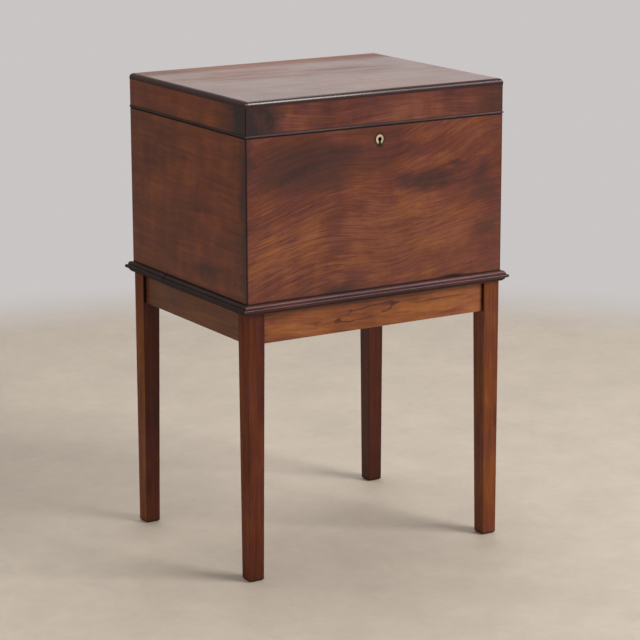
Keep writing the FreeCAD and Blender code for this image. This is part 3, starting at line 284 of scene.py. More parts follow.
def wood(name, direction, colours, seed, *, sway=0.03, bend=None, lines=60.0, run=9.0,
         flames=0.28, stripes=0.30, cross=0.12, contrast=1.0, clear=None, rings=None, loops=(), patches=(),
         blush=0.8, smoke=(), bare_or_lit=None, bare_or_lit_tint=(1.15, 1.15, 1.15), marks=None, dirt_and_shade=GRIME_AND_SHADE,
         dull=None, worn=None, gloss=0.32, coat=0.2, ior=1.42, relief=1.0):
    """Polished mahogany, with the grain along direction and its own figure for each seed.

    Figure: sway is how far the grain wanders, and bend leads it. lines and run set how fine the streaks are,
    across the grain and along it. flames, stripes and cross are the shares of broad, narrow and crossing
    figure, and clear is where the stripes show. rings and loops draw lines of growth, and patches are ovals
    of lighter or darker wood.
    Colour: blush is the strength of the warm and cool tints, and smoke is ovals of grey. bare_or_lit is where
    the wood is unpolished, and on the legs' left faces where it is painted lighter as painted light;
    bare_or_lit_tint is what its colour is multiplied by there. marks is where the colour is darkened: painted
    shade in seams, crevices, the keyhole and on rounded edges, and darker wood and soiling elsewhere.
    dirt_and_shade is that colour.
    Finish: gloss is the polish's roughness, coat and ior are its lacquer and index, and relief is the depth
    of the pores. dull is how much the marks take the shine off, and worn is where the polish has thinned.
    bend, clear, bare_or_lit, marks, dull and worn are functions of the tree and of the place.
    """
    tree = Tree(bpy.data.materials.new(name))
    axes = tree.split(tree.place)
    along, across, inward = (axes[index] for index in AXES[direction])
    board = tree.join(tree.plus(along, seed), across, inward)
    grain = board
    if bend:
        grain = tree.join(tree.plus(along, seed), tree.minus(across, bend(tree, along, across)), inward)
    grain = tree.vector("ADD", grain, tree.wander(grain, (3.2, 6.0, 6.0), (0.0, sway, sway), detail=2.0))

    clouds = tree.noise(grain, (4.0, 11.0, 11.0), roughness=0.55)
    flame = tree.noise(grain, (7.0, lines, lines * 0.6), detail=4.0, roughness=0.6, distortion=0.3)
    stripe = tree.noise(grain, (run, lines * 3.0, lines * 2.0), roughness=0.6)
    mottle = tree.noise(board, (26.0, 13.0, 13.0), detail=4.0, roughness=0.6)
    fibre = tree.noise(grain, (26.0, 620.0, 620.0), detail=2.0)
    pores = tree.span(tree.noise(grain, (70.0, 1500.0, 1500.0), detail=1.0), 0.62, 0.74)
    if clear:
        stripe = tree.plus(tree.times(tree.minus(stripe, 0.5), clear(tree, along, across)), 0.5)
    value = tree.times(clouds, 1.0 - flames - stripes - cross)
    for layer, share in ((flame, flames), (stripe, stripes), (mottle, cross)):
        value = tree.plus(value, tree.times(layer, share))
    value = tree.plus(tree.times(tree.minus(value, 0.5), FIGURE_GAIN * contrast), 0.5)
    if rings:
        centre, reach, amount = rings
        growth = tree.noise(grain, (2.6, 15.0, 9.0), detail=2.0, roughness=0.4)
        growth = tree.span(tree.math("SINE", tree.times(growth, RING_TURNS)), 0.72, 1.0)
        value = tree.minus(value, tree.times(growth, amount, tree.oval(along, across, centre, reach)))
    for loop in loops:
        value = tree.minus(value, closed_line(tree, grain, along, across, *loop))
    if patches or smoke:
        warp = tree.split(tree.wander(board, (14.0, 22.0, 22.0), (0.07, 0.035, 0.0), roughness=0.6))
        warped = tree.plus(along, warp[0]), tree.plus(across, warp[1])
        value = tree.add_ovals(value, *warped, patches)

    colour = tree.ramp(value, *zip((0.0, 0.5, 1.0), colours))
    tint = tree.span(tree.noise(grain, (13.0, 21.0, 21.0), detail=4.0, roughness=0.65), 0.40, 0.60)
    tinted = tree.mix(1.0, colour, tree.mix(tint, WARM_TINT, COOL_TINT), "MULTIPLY")
    colour = tree.mix(blush, colour, tinted)
    colour = tree.shade(colour, tree.span(fibre, 0.25, 0.75, 0.88, 1.12))
    colour = tree.shade(colour, tree.minus(1.0, tree.times(pores, PORE_SHADE)))
    if smoke:
        ragged = tree.minus(tree.times(mottle, 2.6), 0.25)
    for centre, reach, amount in smoke:
        haze = tree.math("MULTIPLY", tree.oval(*warped, centre, reach), ragged, clamp=True)
        colour = tree.mix(tree.times(haze, amount), colour, SMOKE)

    smears = tree.noise(tree.place, (9.0, 9.0, 9.0), detail=4.0, roughness=0.6)
    roughness = tree.span(smears, 0.3, 0.7, gloss - 0.05, gloss + 0.09)
    hollows = tree.minus(tree.times(fibre, 0.5), pores)
    normal = tree.bump(hollows, 0.00008 * relief, 0.5)
    normal = tree.bump(tree.noise(tree.place, (11.0, 11.0, 11.0), detail=1.0), 0.0006, 0.35, normal)
    unpolished = []
    if bare_or_lit:
        bare_or_lit_mask = bare_or_lit(tree, axes)
        colour = tree.mix(bare_or_lit_mask, colour, tree.mix(1.0, colour, bare_or_lit_tint, "MULTIPLY"))
        unpolished.append((bare_or_lit_mask, BARE_ROUGHER))
    if marks:
        # The marks darken the colour: painted shade in seams, crevices, the keyhole and on the lid's rounded
        # edges, and darker wood and soiling elsewhere.
        grime_and_shade = marks(tree, axes)
        colour = tree.mix(grime_and_shade, colour, dirt_and_shade)
        dulled = tree.times(grime_and_shade, dull(tree, axes)) if dull else grime_and_shade
        dulled = tree.most(dulled, worn(tree, axes)) if worn else dulled
        unpolished.append((dulled, DIRT_ROUGHER))
    for mask, rougher in unpolished:
        roughness = tree.plus(roughness, tree.times(mask, rougher))
        if coat:
            coat = tree.times(tree.minus(1.0, mask), coat)
    return tree.finish(tree.principled(colour, roughness, normal, coat, Coat_Roughness=0.16, IOR=ior))


WAVE_START, WAVE_LENGTH, WAVE_HEIGHT, LOW_WAVE = -0.182, 0.346, 0.0121, 0.0050
SLOPE, CORNER_RISE = 0.10, 0.045
STRIPES_CLEAR = 0.85
STRIPE_OVALS = (
    ((-0.150, 0.530), (0.160, 0.110), 0.85), ((0.080, 0.560), (0.140, 0.050), 0.35),
    ((-0.120, 0.680), (0.180, 0.070), -0.55),
)


def climb(tree, x, z):
    """How the front's grain is led: it climbs from the left, levels out and climbs again, most towards the
    top right corner."""
    wave = tree.math("SINE", tree.times(tree.minus(x, WAVE_START), 2 * math.pi / WAVE_LENGTH))
    wave = tree.times(wave, tree.span(x, 0.0, 0.09, WAVE_HEIGHT, LOW_WAVE))
    corner = tree.times(tree.span(x, 0.0, 0.20), tree.span(z, 0.60, 0.72))
    return tree.plus(tree.times(x, SLOPE), wave, tree.times(corner, CORNER_RISE))


def clear_grain(tree, x, z):
    """How plainly the front's stripes show: most at the lower left, little in the dark top left."""
    return tree.add_ovals(STRIPES_CLEAR, x, z, STRIPE_OVALS)


# ---------------------------------------------------------------- soiling, painted shade and worn polish

# The functions give a mask, from 0 to 1, for a point's place. A point counts as on a face within these margins.
ON_INNER_FACE, ON_UNDERSIDE, ON_LEG, BY_RAIL, ON_OUTER_FACE = 0.0002, 0.0005, 0.0004, 0.0005, 0.0009
CASE_DIRT_AND_SHADE, LID_DARKENING, EDGE_SHADE, LEG_DARKENING, MOULDING_DARKENING, PLATE_DARKENING = 0.95, 0.85, 0.88, 0.88, 0.85, 0.95
# A span is where a soft edge starts and ends, and its two values there where they aren't 0 and 1.
# SEAM_SPAN darkens the case's outer faces just under the seam, and BEAD_SPAN the bead's lower edge: painted shade
# in the seam.
SEAM_SPAN, BEAD_SPAN = (SEAM - 0.0020, SEAM - 0.0006), (SEAM + 0.0015, SEAM + 0.0009, 0.15, 1.0)
LID_FOOT_SPAN = (SEAM + 0.0070, SEAM + 0.0035)
# TOP_SIDE_SPAN and TOP_END_SPAN are where the lid top's rounded edges are painted darker: painted shade.
TOP_SIDE_SPAN = (HALF_WIDTH - 0.0065, HALF_WIDTH - 0.0025)
TOP_END_SPAN = (HALF_DEPTH - 0.0085, HALF_DEPTH - 0.0040)
LEFT_FADE_SPAN, FRONT_FADE_SPAN = (-HALF_WIDTH + 0.004, -HALF_WIDTH + 0.007, 0.80, 0.0), (-0.21, 0.10, 0.05, 0.82)
BACK_WEAR_SPAN, STREAK_SPAN = (0.110, 0.165, 0.0, 0.65), (0.30, 0.70)
FOOT_SPAN = (0.007, 0.0)
# The hole and the slit of the keyhole, painted dark: painted shade in the keyhole.
HOLE_SPAN, SLIT_SPAN, SLIT_LENGTH = (0.0040, 0.0031), (0.0025, 0.0015), 0.010
PLATE_SPAN, HALO_SPAN = (0.0060, 0.0045), (0.0125, 0.0085, 0.0, 0.75)
PLATE_REACH, RIM_SPAN, RIM_DARKENING = (0.0075, 0.0081), (0.68, 0.92), 0.85
SMUDGE_DROP, SMUDGE_REACH, SMUDGE = 0.0095, (0.0080, 0.0060), 0.8
SMEAR_X, SMEAR_RISE, SMEAR_REACH = 0.145, 0.0010, (0.036, 0.0062)
# ABOVE_LIP and its reach place a dark line on the case just above the moulding's lip: painted shade in the angle
# between them.
ABOVE_LIP, ABOVE_LIP_REACH = 0.0004, 0.0034
CORNER_REACH, SPLICE_REACH = 0.0035, 0.0022
# Heights and reaches of the moulding's dark lines: on the half round, and low on the round under it.
ROUND_LINES = ((0.4455, 0.0012), (0.4395, 0.002))
TOP_WORN = (((-0.100, 0.065), (0.160, 0.075), 0.55), ((0.060, 0.030), (0.150, 0.070), 0.45))


def bare_inside(tree, axes):
    """The inner faces of box and lid, which were never polished."""
    return tree.times(tree.below(tree.absolute(axes[0]), HALF_WIDTH - BOARD + ON_INNER_FACE),
                      tree.below(tree.absolute(axes[1]), HALF_DEPTH - BOARD + ON_INNER_FACE))


def bare_under(tree, axes):
    """The underside of the lid's top board, within the rim."""
    return tree.times(bare_inside(tree, axes), tree.below(axes[2], LID_UNDER + ON_UNDERSIDE))


def painted_light_left_face(tree, axes):
    """The face of a left leg that is turned to the left, which is painted lighter: painted light."""
    return tree.below(axes[0], LEG_OUTER_X + ON_LEG)


def outside(tree, axes):
    """The outer faces of box and lid, and just round their edges."""
    return tree.most(tree.above(tree.absolute(axes[0]), HALF_WIDTH - ON_OUTER_FACE),
                     tree.above(tree.absolute(axes[1]), HALF_DEPTH - ON_OUTER_FACE))


def corner_lines(tree, axes):
    """The upright corners of box and lid, which are darker."""
    return tree.times(tree.near(tree.absolute(axes[0]), HALF_WIDTH, CORNER_REACH),
                      tree.near(tree.absolute(axes[1]), HALF_DEPTH, CORNER_REACH))


def from_key(tree, axes):
    """How far a point is from the keyhole's axis, in metres."""
    across, up = tree.minus(axes[0], KEY_X), tree.minus(axes[2], KEY_Z)
    return tree.math("SQRT", tree.plus(tree.times(across, across), tree.times(up, up)))


def key_marks(tree, axes):
    """Painted shade in the keyhole, on all that shows through it."""
    hole = tree.span(from_key(tree, axes), *HOLE_SPAN)
    slit = tree.times(tree.span(tree.absolute(tree.minus(axes[0], KEY_X)), *SLIT_SPAN),
                      tree.below(axes[2], KEY_Z), tree.above(axes[2], KEY_Z - SLIT_LENGTH))
    return tree.times(tree.most(hole, slit), tree.below(axes[1], LOCK_BACK))


def plate_marks(tree, axes):
    """Painted shade in the hole of the keyhole plate and the slot under it, and a darker rim round the plate."""
    rim = tree.span(tree.squared_reach(axes[0], axes[2], (KEY_X, KEY_Z), PLATE_REACH), *RIM_SPAN)
    return tree.times(tree.most(key_marks(tree, axes), tree.times(rim, RIM_DARKENING)), PLATE_DARKENING)


def key_surround(tree, axes):
    """Painted shade in the keyhole, the line round its plate, and the halo and the smudge that keys and hands
    have left.
    """
    smudge = tree.oval(axes[0], axes[2], (KEY_X, KEY_Z - SMUDGE_DROP), SMUDGE_REACH)
    dark = tree.most(key_marks(tree, axes), tree.span(from_key(tree, axes), *PLATE_SPAN),
                     tree.span(from_key(tree, axes), *HALO_SPAN), tree.times(smudge, SMUDGE))
    return tree.times(dark, tree.below(axes[1], LOCK_BACK))


def case_marks(tree, axes):
    """Darker along the upright corners and in a smear above the front moulding, painted shade in the seam, in the
    angle above the moulding and in the keyhole, and the marks round the keyhole plate.
    """
    lip = CASE_FOOT + MOULDING_LIP
    smear = tree.times(tree.oval(axes[0], axes[2], (SMEAR_X, lip + SMEAR_RISE), SMEAR_REACH),
                       tree.below(axes[1], 0.0))
    # Painted shade in the angle above the moulding's lip.
    foot = tree.near(axes[2], lip + ABOVE_LIP, ABOVE_LIP_REACH)
    # Painted shade in the seam under the lid.
    seam = tree.times(tree.span(axes[2], *SEAM_SPAN), outside(tree, axes))
    dark = tree.most(corner_lines(tree, axes), seam, foot, smear, key_surround(tree, axes))
    return tree.times(dark, CASE_DIRT_AND_SHADE)


def lid_marks(tree, axes):
    """Darker along the upright corners and along the lower edge."""
    low = tree.times(tree.span(axes[2], *LID_FOOT_SPAN), outside(tree, axes))
    return tree.times(tree.most(corner_lines(tree, axes), low), LID_DARKENING)


def lid_top_marks(tree, axes):
    """The rounded edges, painted darker than the flat top: painted shade."""
    sides = tree.span(tree.absolute(axes[0]), *TOP_SIDE_SPAN)
    ends = tree.span(tree.absolute(axes[1]), *TOP_END_SPAN)
    return tree.times(tree.most(sides, ends), EDGE_SHADE)


def fading(tree, axes):
    """Where the lid's rounded edges shine least: on the left, and towards the right end of the front."""
    return tree.most(tree.span(axes[0], *LEFT_FADE_SPAN), tree.span(axes[0], *FRONT_FADE_SPAN))


def top_wear(tree, axes):
    """Where the top's polish is thin: along the back, and in streaks on two places."""
    strip = tree.span(axes[1], *BACK_WEAR_SPAN)
    streaks = tree.span(tree.noise(tree.place, (6.0, 40.0, 40.0), detail=4.0, roughness=0.65), *STREAK_SPAN)
    places = (tree.times(tree.oval(axes[0], axes[1], centre, reach), amount)
              for centre, reach, amount in TOP_WORN)
    return tree.most(strip, tree.times(tree.most(*places), streaks))


def bead_marks(tree, axes):
    """Painted shade on the bead's lower edge, over the seam."""
    return tree.span(axes[2], *BEAD_SPAN)


def leg_marks(tree, axes):
    """Painted shade on the legs' faces beside the rails, and darker at the feet."""
    # Painted shade in the angle where the rails meet the legs.
    beside_rail = tree.most(tree.below(tree.absolute(axes[0]), LEG_INNER_X + BY_RAIL),
                            tree.below(tree.absolute(axes[1]), LEG_INNER_Y + BY_RAIL))
    joint = tree.times(beside_rail, tree.above(axes[2], RAIL_FOOT))
    return tree.times(tree.most(joint, tree.span(axes[2], *FOOT_SPAN)), LEG_DARKENING)


def moulding_marks(tree, axes):
    """Two dark lines along the moulding's rounds, and the butt joint of its left length."""
    lines = (tree.near(axes[2], height, reach) for height, reach in ROUND_LINES)
    splice = tree.times(tree.near(axes[1], SPLICE, SPLICE_REACH), tree.below(axes[0], -HALF_WIDTH))
    return tree.times(tree.most(*lines, splice), MOULDING_DARKENING)


# ---------------------------------------------------------------- boards, legs and mouldings

# Soft ovals on the boards: the centre and the reach, along the grain and across it, and the amount. A patch
# makes the wood lighter by its amount, or darker where that is under 0. Smoke greys it.
FRONT_PATCHES = (
    ((-0.150, 0.665), (0.115, 0.065), -0.36), ((-0.010, 0.675), (0.110, 0.050), -0.14),
    ((0.088, 0.620), (0.075, 0.020), -0.34), ((0.080, 0.652), (0.075, 0.015), 0.26),
    ((0.143, 0.637), (0.024, 0.009), -0.28), ((0.212, 0.560), (0.040, 0.100), -0.14),
    ((0.175, 0.485), (0.080, 0.035), -0.07), ((0.080, 0.692), (0.060, 0.014), 0.14),
    ((0.190, 0.640), (0.070, 0.070), -0.10), ((-0.165, 0.530), (0.100, 0.065), 0.19),
    ((0.060, 0.555), (0.200, 0.060), 0.22), ((0.200, 0.600), (0.080, 0.050), -0.14),
    ((0.080, 0.495), (0.180, 0.045), 0.20), ((-0.069, 0.461), (0.045, 0.014), -0.30),
)
FRONT_SMOKE = (
    ((-0.130, 0.664), (0.130, 0.055), 0.40), ((0.088, 0.620), (0.078, 0.016), 0.42),
    ((0.143, 0.637), (0.020, 0.008), 0.32), ((-0.236, 0.690), (0.016, 0.040), 0.55),
    ((-0.069, 0.460), (0.030, 0.010), 0.55), ((0.212, 0.532), (0.030, 0.024), 0.34),
    ((0.214, 0.590), (0.030, 0.024), 0.30), ((0.210, 0.636), (0.034, 0.026), 0.16),
    ((0.226, 0.686), (0.026, 0.034), 0.22),
)
SIDE_PATCHES = (
    ((-0.186, 0.640), (0.035, 0.160), -0.20), ((0.080, 0.660), (0.110, 0.060), -0.14),
    ((0.020, 0.590), (0.120, 0.060), 0.05), ((0.020, 0.500), (0.200, 0.050), -0.08),
)
SIDE_SMOKE = (((-0.200, 0.600), (0.034, 0.400), 0.75), ((0.155, 0.600), (0.035, 0.300), 0.16))
LID_FRONT_PATCHES = (
    ((-0.135, 0.750), (0.050, 0.060), 0.08), ((-0.080, 0.742), (0.050, 0.040), -0.10),
    ((0.020, 0.745), (0.120, 0.050), 0.08), ((0.126, 0.753), (0.035, 0.022), -0.16),
    ((0.200, 0.745), (0.080, 0.060), -0.14),
)
LID_FRONT_SMOKE = (((-0.244, 0.735), (0.080, 0.120), 1.0), ((0.238, 0.745), (0.060, 0.060), 0.55))
LID_SIDE_PATCHES = (((0.060, 0.740), (0.220, 0.060), -0.04),)
LID_SIDE_SMOKE = (((-0.207, 0.735), (0.106, 0.140), 1.0),)
TOP_PATCHES = (((0.080, 0.175), (0.320, 0.055), 0.15), ((-0.060, 0.070), (0.200, 0.060), 0.15))
RAIL_RINGS = ((0.125, 0.420), (0.065, 0.030), 0.42)
RAIL_LOOPS = (((-0.018, 0.4140), (0.057, 0.0085), 0.13, 0.70), ((-0.080, 0.4120), (0.030, 0.0060), 0.20, 0.35))

# What the boards of a kind have in common.
SHOWN = dict(sway=0.05, coat=0.30, ior=1.30, bare_or_lit=bare_inside)
SIDE = dict(sway=0.05, cross=0.34, stripes=0.20, flames=0.24, blush=0.5, coat=0.18, ior=1.28,
            marks=case_marks, bare_or_lit=bare_inside)
LID = dict(cross=0.32, stripes=0.22, flames=0.24, coat=0.18, ior=1.28, marks=lid_marks, bare_or_lit=bare_inside)
UPRIGHT = dict(sway=0.01, lines=90.0, coat=0.0, ior=1.28, marks=leg_marks)


def dress(material, *nodes):
    """Gives the CAD nodes that material."""
    for name in nodes:
        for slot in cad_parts[name].material_slots:
            slot.material = material


dress(wood("front_mahogany", "X", RED, 0.37, bend=climb, lines=125.0, run=19.0, flames=0.23, stripes=0.29,
           cross=0.20, clear=clear_grain, patches=FRONT_PATCHES, blush=0.5, smoke=FRONT_SMOKE,
           marks=case_marks, **SHOWN), "case_front")
dress(wood("left_mahogany", "Y", LEFT_BROWN, 3.1, patches=SIDE_PATCHES, smoke=SIDE_SMOKE, **SIDE), "case_left")
dress(wood("right_mahogany", "Y", BROWN, 11.7, **SIDE), "case_right")
dress(wood("back_mahogany", "X", BROWN, 7.9, **SIDE), "case_back")
dress(wood("lid_front_mahogany", "X", ROSE, 5.3, lines=85.0, run=16.0, flames=0.14, stripes=0.24, cross=0.27,
           patches=LID_FRONT_PATCHES, blush=0.55, smoke=LID_FRONT_SMOKE, marks=lid_marks, **SHOWN), "lid_front")
dress(wood("lid_left_mahogany", "Y", LEFT_BROWN, 6.2, patches=LID_SIDE_PATCHES, smoke=LID_SIDE_SMOKE, **LID),
      "lid_left")
dress(wood("lid_right_mahogany", "Y", BROWN, 13.3, **LID), "lid_right")
dress(wood("lid_back_mahogany", "X", BROWN, 15.8, **LID), "lid_back")
dress(wood("lid_top_mahogany", "X_flat", TOP, 9.4, contrast=0.9, run=12.0, patches=TOP_PATCHES, blush=0.6,
           bare_or_lit=bare_under, marks=lid_top_marks, dirt_and_shade=EDGE_SHADE_COLOUR, dull=fading, worn=top_wear,
           gloss=0.26, coat=0.79, ior=1.25, relief=0.25), "lid_top")
dress(wood("bead_mahogany", "X", BEAD, 2.2, gloss=0.60, coat=0.0, ior=1.30, marks=bead_marks),
      "lid_bead_front")
# The side beads take the darker side colours: painted shade.
dress(wood("shaded_side_bead_mahogany", "Y", SHADED_SIDE_DUSK, 2.6, gloss=0.45, coat=0.0, ior=1.30, marks=bead_marks),
      "lid_bead_left", "lid_bead_right")
# The front left leg's left face is painted lighter: painted light.
dress(wood("leg_mahogany", "Z", LEG, 4.4, bare_or_lit=painted_light_left_face, bare_or_lit_tint=(1.45, 1.45, 1.00), **UPRIGHT),
      "leg_front_left")
# The back legs take the darker copy of the leg colours, as painted shade, and the back left leg's left face is
# painted much lighter, as painted light.
dress(wood("shaded_back_leg_mahogany", "Z", SHADED_BACK_LEG, 4.9, **UPRIGHT), "leg_back_right")
dress(wood("shaded_lit_back_left_leg_mahogany", "Z", SHADED_BACK_LEG, 8.3, bare_or_lit=painted_light_left_face, bare_or_lit_tint=(2.6, 3.8, 3.0), **UPRIGHT),
      "leg_back_left")
dress(wood("russet_leg_mahogany", "Z", RUSSET, 1.4, **UPRIGHT), "leg_front_right")
dress(wood("rail_mahogany", "X", ORANGE, 0.8, sway=0.05, lines=50.0, run=14.0, rings=RAIL_RINGS,
           loops=RAIL_LOOPS, blush=0.6, coat=0.1, ior=1.36), "rail_front", "rail_back")
dress(wood("side_rail_mahogany", "Y", OLIVE, 1.9, sway=0.02, coat=0.05, ior=1.32), "rail_left", "rail_right")
dress(wood("moulding_mahogany", "X", DUSK, 2.9, sway=0.004, gloss=0.46, coat=0.05, ior=1.36,
           marks=moulding_marks), "moulding_front", "moulding_back")
# The side mouldings take the darker side colours: painted shade.
dress(wood("shaded_side_moulding_mahogany", "Y", SHADED_SIDE_DUSK, 8.8, sway=0.004, gloss=0.50, coat=0.0, ior=1.30,
           marks=moulding_marks), "moulding_left_fore", "moulding_left_rear", "moulding_right")
dress(wood("cross_divider_mahogany", "Y", BROWN, 5.7, gloss=0.5, coat=0.0),
      "cross_divider_1", "cross_divider_2", "cross_divider_3")
dress(wood("long_divider_mahogany", "X", BROWN, 6.6, gloss=0.5, coat=0.0), "long_divider_1", "long_divider_2")
dress(wood("pine", "X", PINE, 3.3, gloss=0.6, coat=0.0, blush=0.15),
      "case_bottom", "case_tongues", "lid_tongues", "corner_blocks")


# ---------------------------------------------------------------- metal

def metal(name, colours, rough, seed, metallic=1.0, marks=None):
    """Old metal, dulled and spotted unevenly, and darkened at the marks: painted shade in the keyhole, and a
    darker rim on the keyhole plate.
    """
    tree = Tree(bpy.data.materials.new(name))
    shifted = tree.vector("ADD", tree.place, (seed, 0.0, 0.0))
    spots = tree.noise(shifted, (180.0, 180.0, 180.0), detail=5.0, roughness=0.65)
    clouds = tree.noise(tree.place, (55.0, 55.0, 55.0))
    scratches = tree.noise(tree.place, (2600.0, 300.0, 700.0), detail=2.0)
    value = tree.plus(tree.times(spots, 0.5), tree.times(clouds, 0.5))
    colour = tree.ramp(value, *zip((0.32, 0.5, 0.68), colours))
    scuffs = tree.plus(spots, tree.times(scratches, 0.3))
    roughness = tree.span(scuffs, 0.4, 0.9, rough + 0.12, rough - 0.06)
    normal = tree.bump(clouds, 0.0003, 0.3, tree.bump(scratches, 0.00002, 0.4))
    if marks:
        colour = tree.mix(marks(tree, tree.split(tree.place)), colour, GRIME_AND_SHADE)
    return tree.finish(tree.principled(colour, roughness, normal, Metallic=metallic))


dress(metal("old_brass", BRASS, 0.34, 0.0), "hinge_case_leaves", "hinge_lid_leaves", "hinge_pins", "link_plate")
dress(metal("lock_brass", BRASS, 0.38, 3.0, marks=key_marks), "lock_plate", "lock_cap")
dress(metal("pale_brass", PALE_BRASS, 0.42, 1.0, metallic=0.8, marks=plate_marks), "key_escutcheon")
dress(metal("iron", IRON, 0.42, 2.0, marks=key_marks),
      "lock_bolt", "bolt_spring", "lock_drill_pin", "bottom_brads")


# ---------------------------------------------------------------- screws

HALF_TURN = 13          # points on each half of a ring
SLOT_WIDTH, SLOT_DEPTH, RIM, SINK = 0.0007, 0.0006, 0.0002, 0.0018
SHANK, TIP, TIP_WIDTH = 0.0004, 0.0022, 0.45
THREAD_PITCH, THREAD_STEPS, THREAD_ROOT = 0.0011, 5, 0.74
SHARP_ANGLE = math.radians(35)
FIRST_TURN, TURN_STEP = 0.3, 1.9


def add_ring(form, place, radius, height, turns=None):
    """A loop of points round a screw, in two halves that leave the width of the slot between them. Where the
    thread has made some turns, the radius follows it."""
    def reach(angle):
        if turns is None:
            return radius
        phase = (turns + angle / (2 * math.pi)) % 1.0
        return radius * (THREAD_ROOT + (1.0 - THREAD_ROOT) * abs(2 * phase - 1))

    start = math.asin(SLOT_WIDTH / 2 / reach(0.0))
    ring = []
    for half in range(2):
        for index in range(HALF_TURN):
            angle = half * math.pi + start + (math.pi - 2 * start) * index / (HALF_TURN - 1)
            spot = Vector((reach(angle) * math.cos(angle), reach(angle) * math.sin(angle), height))
            ring.append(form.verts.new(place @ spot))
    return ring


def skin(form, upper, lower):
    """Joins two whole loops."""
    for index in range(len(upper)):
        after = (index + 1) % len(upper)
        form.faces.new((upper[index], upper[after], lower[after], lower[index]))


def add_screw(form, place, head, neck, core, length):
    """A slotted countersunk wood screw, with its head's face at height 0 and its thread below."""
    taper = (head - neck) / SINK
    face = add_ring(form, place, head - RIM, 0.0)
    rim = add_ring(form, place, head, -RIM)
    sunk = add_ring(form, place, head - taper * (SLOT_DEPTH - RIM), -SLOT_DEPTH)
    for first in (0, HALF_TURN):
        last = first + HALF_TURN - 1
        form.faces.new(face[first:last + 1])
        form.faces.new((face[first], rim[first], sunk[first], sunk[last], rim[last], face[last]))
        for index in range(first, last):
            form.faces.new((face[index], face[index + 1], rim[index + 1], rim[index]))
            form.faces.new((rim[index], rim[index + 1], sunk[index + 1], sunk[index]))
    form.faces.new((sunk[0], sunk[HALF_TURN - 1], sunk[HALF_TURN], sunk[-1]))
    ring = add_ring(form, place, neck, -SINK)
    skin(form, sunk, ring)
    depth = SINK + SHANK
    while depth < length - TIP:
        lower = add_ring(form, place, core, -depth, depth / THREAD_PITCH)
        skin(form, ring, lower)
        ring = lower
        depth += THREAD_PITCH / THREAD_STEPS
    point = add_ring(form, place, core * TIP_WIDTH, -length)
    skin(form, ring, point)
    form.faces.new(point)


FACING = {
    "up": Matrix.Identity(4),
    "down": Matrix.Rotation(math.pi, 4, "X"),
    "back": Matrix.Rotation(-math.pi / 2, 4, "X"),
}
# A screw's head radius, neck radius, core radius and length.
LEAF_SCREW = (0.0027, 0.0015, 0.0013, 0.012)
LOCK_SCREW = (0.0023, 0.0013, 0.0011, 0.009)
HINGE_XS, LOCK_XS = (-0.17, -0.13, 0.13, 0.17), (-0.0306, 0.0366)
LEAF_Y, PLATE_Y, LID_LOW = 0.18575, -0.18275, SEAM + 0.0004
LOCK_FOOT_Y, LOCK_FOOT_Z = -0.177, 0.6754       # the feet of the lock's back plate
SCREWS = {
    "hinge_case_screws": ("case", LEAF_SCREW, [((x, LEAF_Y, SEAM), "up") for x in HINGE_XS]),
    "hinge_lid_screws": ("lid", LEAF_SCREW, [((x, LEAF_Y, LID_LOW), "down") for x in HINGE_XS]),
    "lock_screws": ("case", LOCK_SCREW, [((x, PLATE_Y, SEAM), "up") for x in LOCK_XS]
                    + [((x, LOCK_FOOT_Y, LOCK_FOOT_Z), "back") for x in LOCK_XS]),
    "link_plate_screws": ("lid", LOCK_SCREW, [((x, PLATE_Y, LID_LOW), "down") for x in LOCK_XS]),
}
screw_brass = metal("screw_brass", BRASS, 0.30, 5.0)
turned = FIRST_TURN
for node, (body, size, spots) in SCREWS.items():
    form = bmesh.new()
    for spot, facing in spots:
        turned += TURN_STEP
        place = Matrix.Translation(spot) @ FACING[facing] @ Matrix.Rotation(turned, 4, "Z")
        add_screw(form, place, *size)
    bmesh.ops.recalc_face_normals(form, faces=form.faces)
    mesh = bpy.data.meshes.new("slotted_" + node)
    form.to_mesh(mesh)
    form.free()
    mesh.polygons.foreach_set("use_smooth", [True] * len(mesh.polygons))
    mesh.set_sharp_from_angle(angle=SHARP_ANGLE)
    mesh.materials.append(screw_brass)
    piece = bpy.data.objects.new("slotted_" + node, mesh)
    bpy.context.scene.collection.objects.link(piece)
    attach(piece, body)
    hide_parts(node)


# ---------------------------------------------------------------- floor and background

FLOOR_RADIUS, FLOOR_SIDES = 14.0, 96
FLOOR_DARK, FLOOR_LIGHT = (tuple(part * tone for part in FLOOR_NEAR) for tone in (0.88, 1.12))
FLOOR_FADE = (1.45, 1.95)
WORLD_STRENGTH = 0.36

floor_mesh = bpy.data.meshes.new("floor")
floor_form = bmesh.new()
bmesh.ops.create_circle(floor_form, cap_ends=True, segments=FLOOR_SIDES, radius=FLOOR_RADIUS)
floor_form.to_mesh(floor_mesh)
floor_form.free()
floor = bpy.data.objects.new("floor", floor_mesh)
bpy.context.scene.collection.objects.link(floor)

# The camera sees the floor fade into the backdrop. For every other ray it stays a floor.
ground = Tree(bpy.data.materials.new("studio_floor"))
mottle = ground.noise(ground.place, (7.0, 7.0, 7.0), detail=6.0, roughness=0.65)
veins = ground.noise(ground.place, (24.0, 24.0, 24.0), detail=5.0, roughness=0.7, distortion=1.2)
tone = ground.ramp(ground.plus(ground.times(mottle, 0.6), ground.times(veins, 0.4)),
                   (0.3, FLOOR_DARK), (0.7, FLOOR_LIGHT))
stone = ground.principled(tone, ground.span(mottle, 0.3, 0.7, 0.5, 0.62), ground.bump(mottle, 0.0004, 0.3),
                          IOR=1.4)
distance = ground.node("VectorMath", operation="LENGTH")
ground.put(ground.place, distance.inputs[0])
far = ground.times(ground.span(distance.outputs["Value"], *FLOOR_FADE),
                   ground.node("LightPath").outputs["Is Camera Ray"])
glow = ground.fill(ground.node("Emission"), BACKDROP)
floor_mesh.materials.append(ground.finish(ground.fill(ground.node("MixShader"), far, stone, glow)))

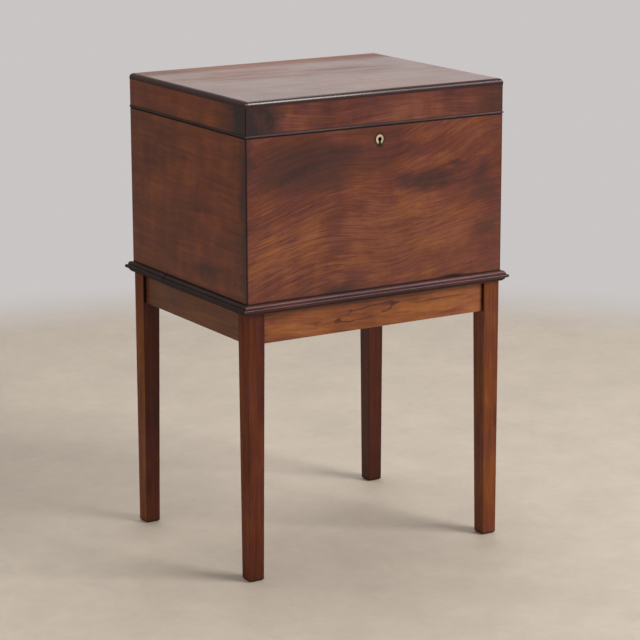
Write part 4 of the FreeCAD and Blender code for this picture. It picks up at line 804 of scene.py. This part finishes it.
# Camera, mirrors and glass see the backdrop, and all else is lit by plain daylight.
studio = Tree(bpy.data.worlds.new("studio"))
rays = studio.node("LightPath").outputs
seen = studio.most(rays["Is Camera Ray"], rays["Is Glossy Ray"], rays["Is Transmission Ray"])
daylight = studio.fill(studio.node("Background"), DAYLIGHT, WORLD_STRENGTH)
backdrop = studio.fill(studio.node("Background"), BACKDROP)
mixed = studio.fill(studio.node("MixShader"), seen, daylight, backdrop)
bpy.context.scene.world = studio.finish(mixed, "OutputWorld")


# ---------------------------------------------------------------- light and camera

LAMP_AIM = Vector((0.0, 0.0, 0.45))
CAMERA_PLACE = Vector((-2.0746, -3.4087, 1.3281))
YAW, PITCH, ROLL = 0.5487, -0.2378, -0.0028
FOCAL_PIXELS, IMAGE_PIXELS, SENSOR = 2459.1, 640.0, 36.0


def lamp(name, place, size, power, colour=(1.0, 1.0, 1.0)):
    """A square soft box that faces the cellarette."""
    light = bpy.data.lights.new(name, "AREA")
    light.shape = "SQUARE"
    light.size = size
    light.energy = power
    light.color = colour
    holder = bpy.data.objects.new(name, light)
    bpy.context.scene.collection.objects.link(holder)
    holder.location = place
    holder.rotation_euler = (LAMP_AIM - Vector(place)).to_track_quat("-Z", "Y").to_euler()


lamp("key", (1.9, -2.5, 2.4), 1.6, 105)
lamp("top", (0.3, 0.9, 3.0), 2.0, 30)
lamp("side", (-2.6, -0.7, 1.5), 1.6, 6, (1.0, 0.86, 0.72))

forward = Vector((math.sin(YAW) * math.cos(PITCH), math.cos(YAW) * math.cos(PITCH), math.sin(PITCH)))
level_right = Vector((math.cos(YAW), -math.sin(YAW), 0.0))
level_up = level_right.cross(forward)
right = level_right * math.cos(ROLL) + level_up * math.sin(ROLL)
up = level_up * math.cos(ROLL) - level_right * math.sin(ROLL)
camera_data = bpy.data.cameras.new("camera")
camera_data.sensor_width = SENSOR
camera_data.lens = FOCAL_PIXELS / IMAGE_PIXELS * SENSOR
camera = bpy.data.objects.new("camera", camera_data)
turn = Matrix((right, up, -forward)).transposed().to_4x4()
camera.matrix_world = Matrix.Translation(CAMERA_PLACE) @ turn
bpy.context.scene.collection.objects.link(camera)
bpy.context.scene.camera = camera
bpy.context.scene.view_settings.view_transform = "Standard"
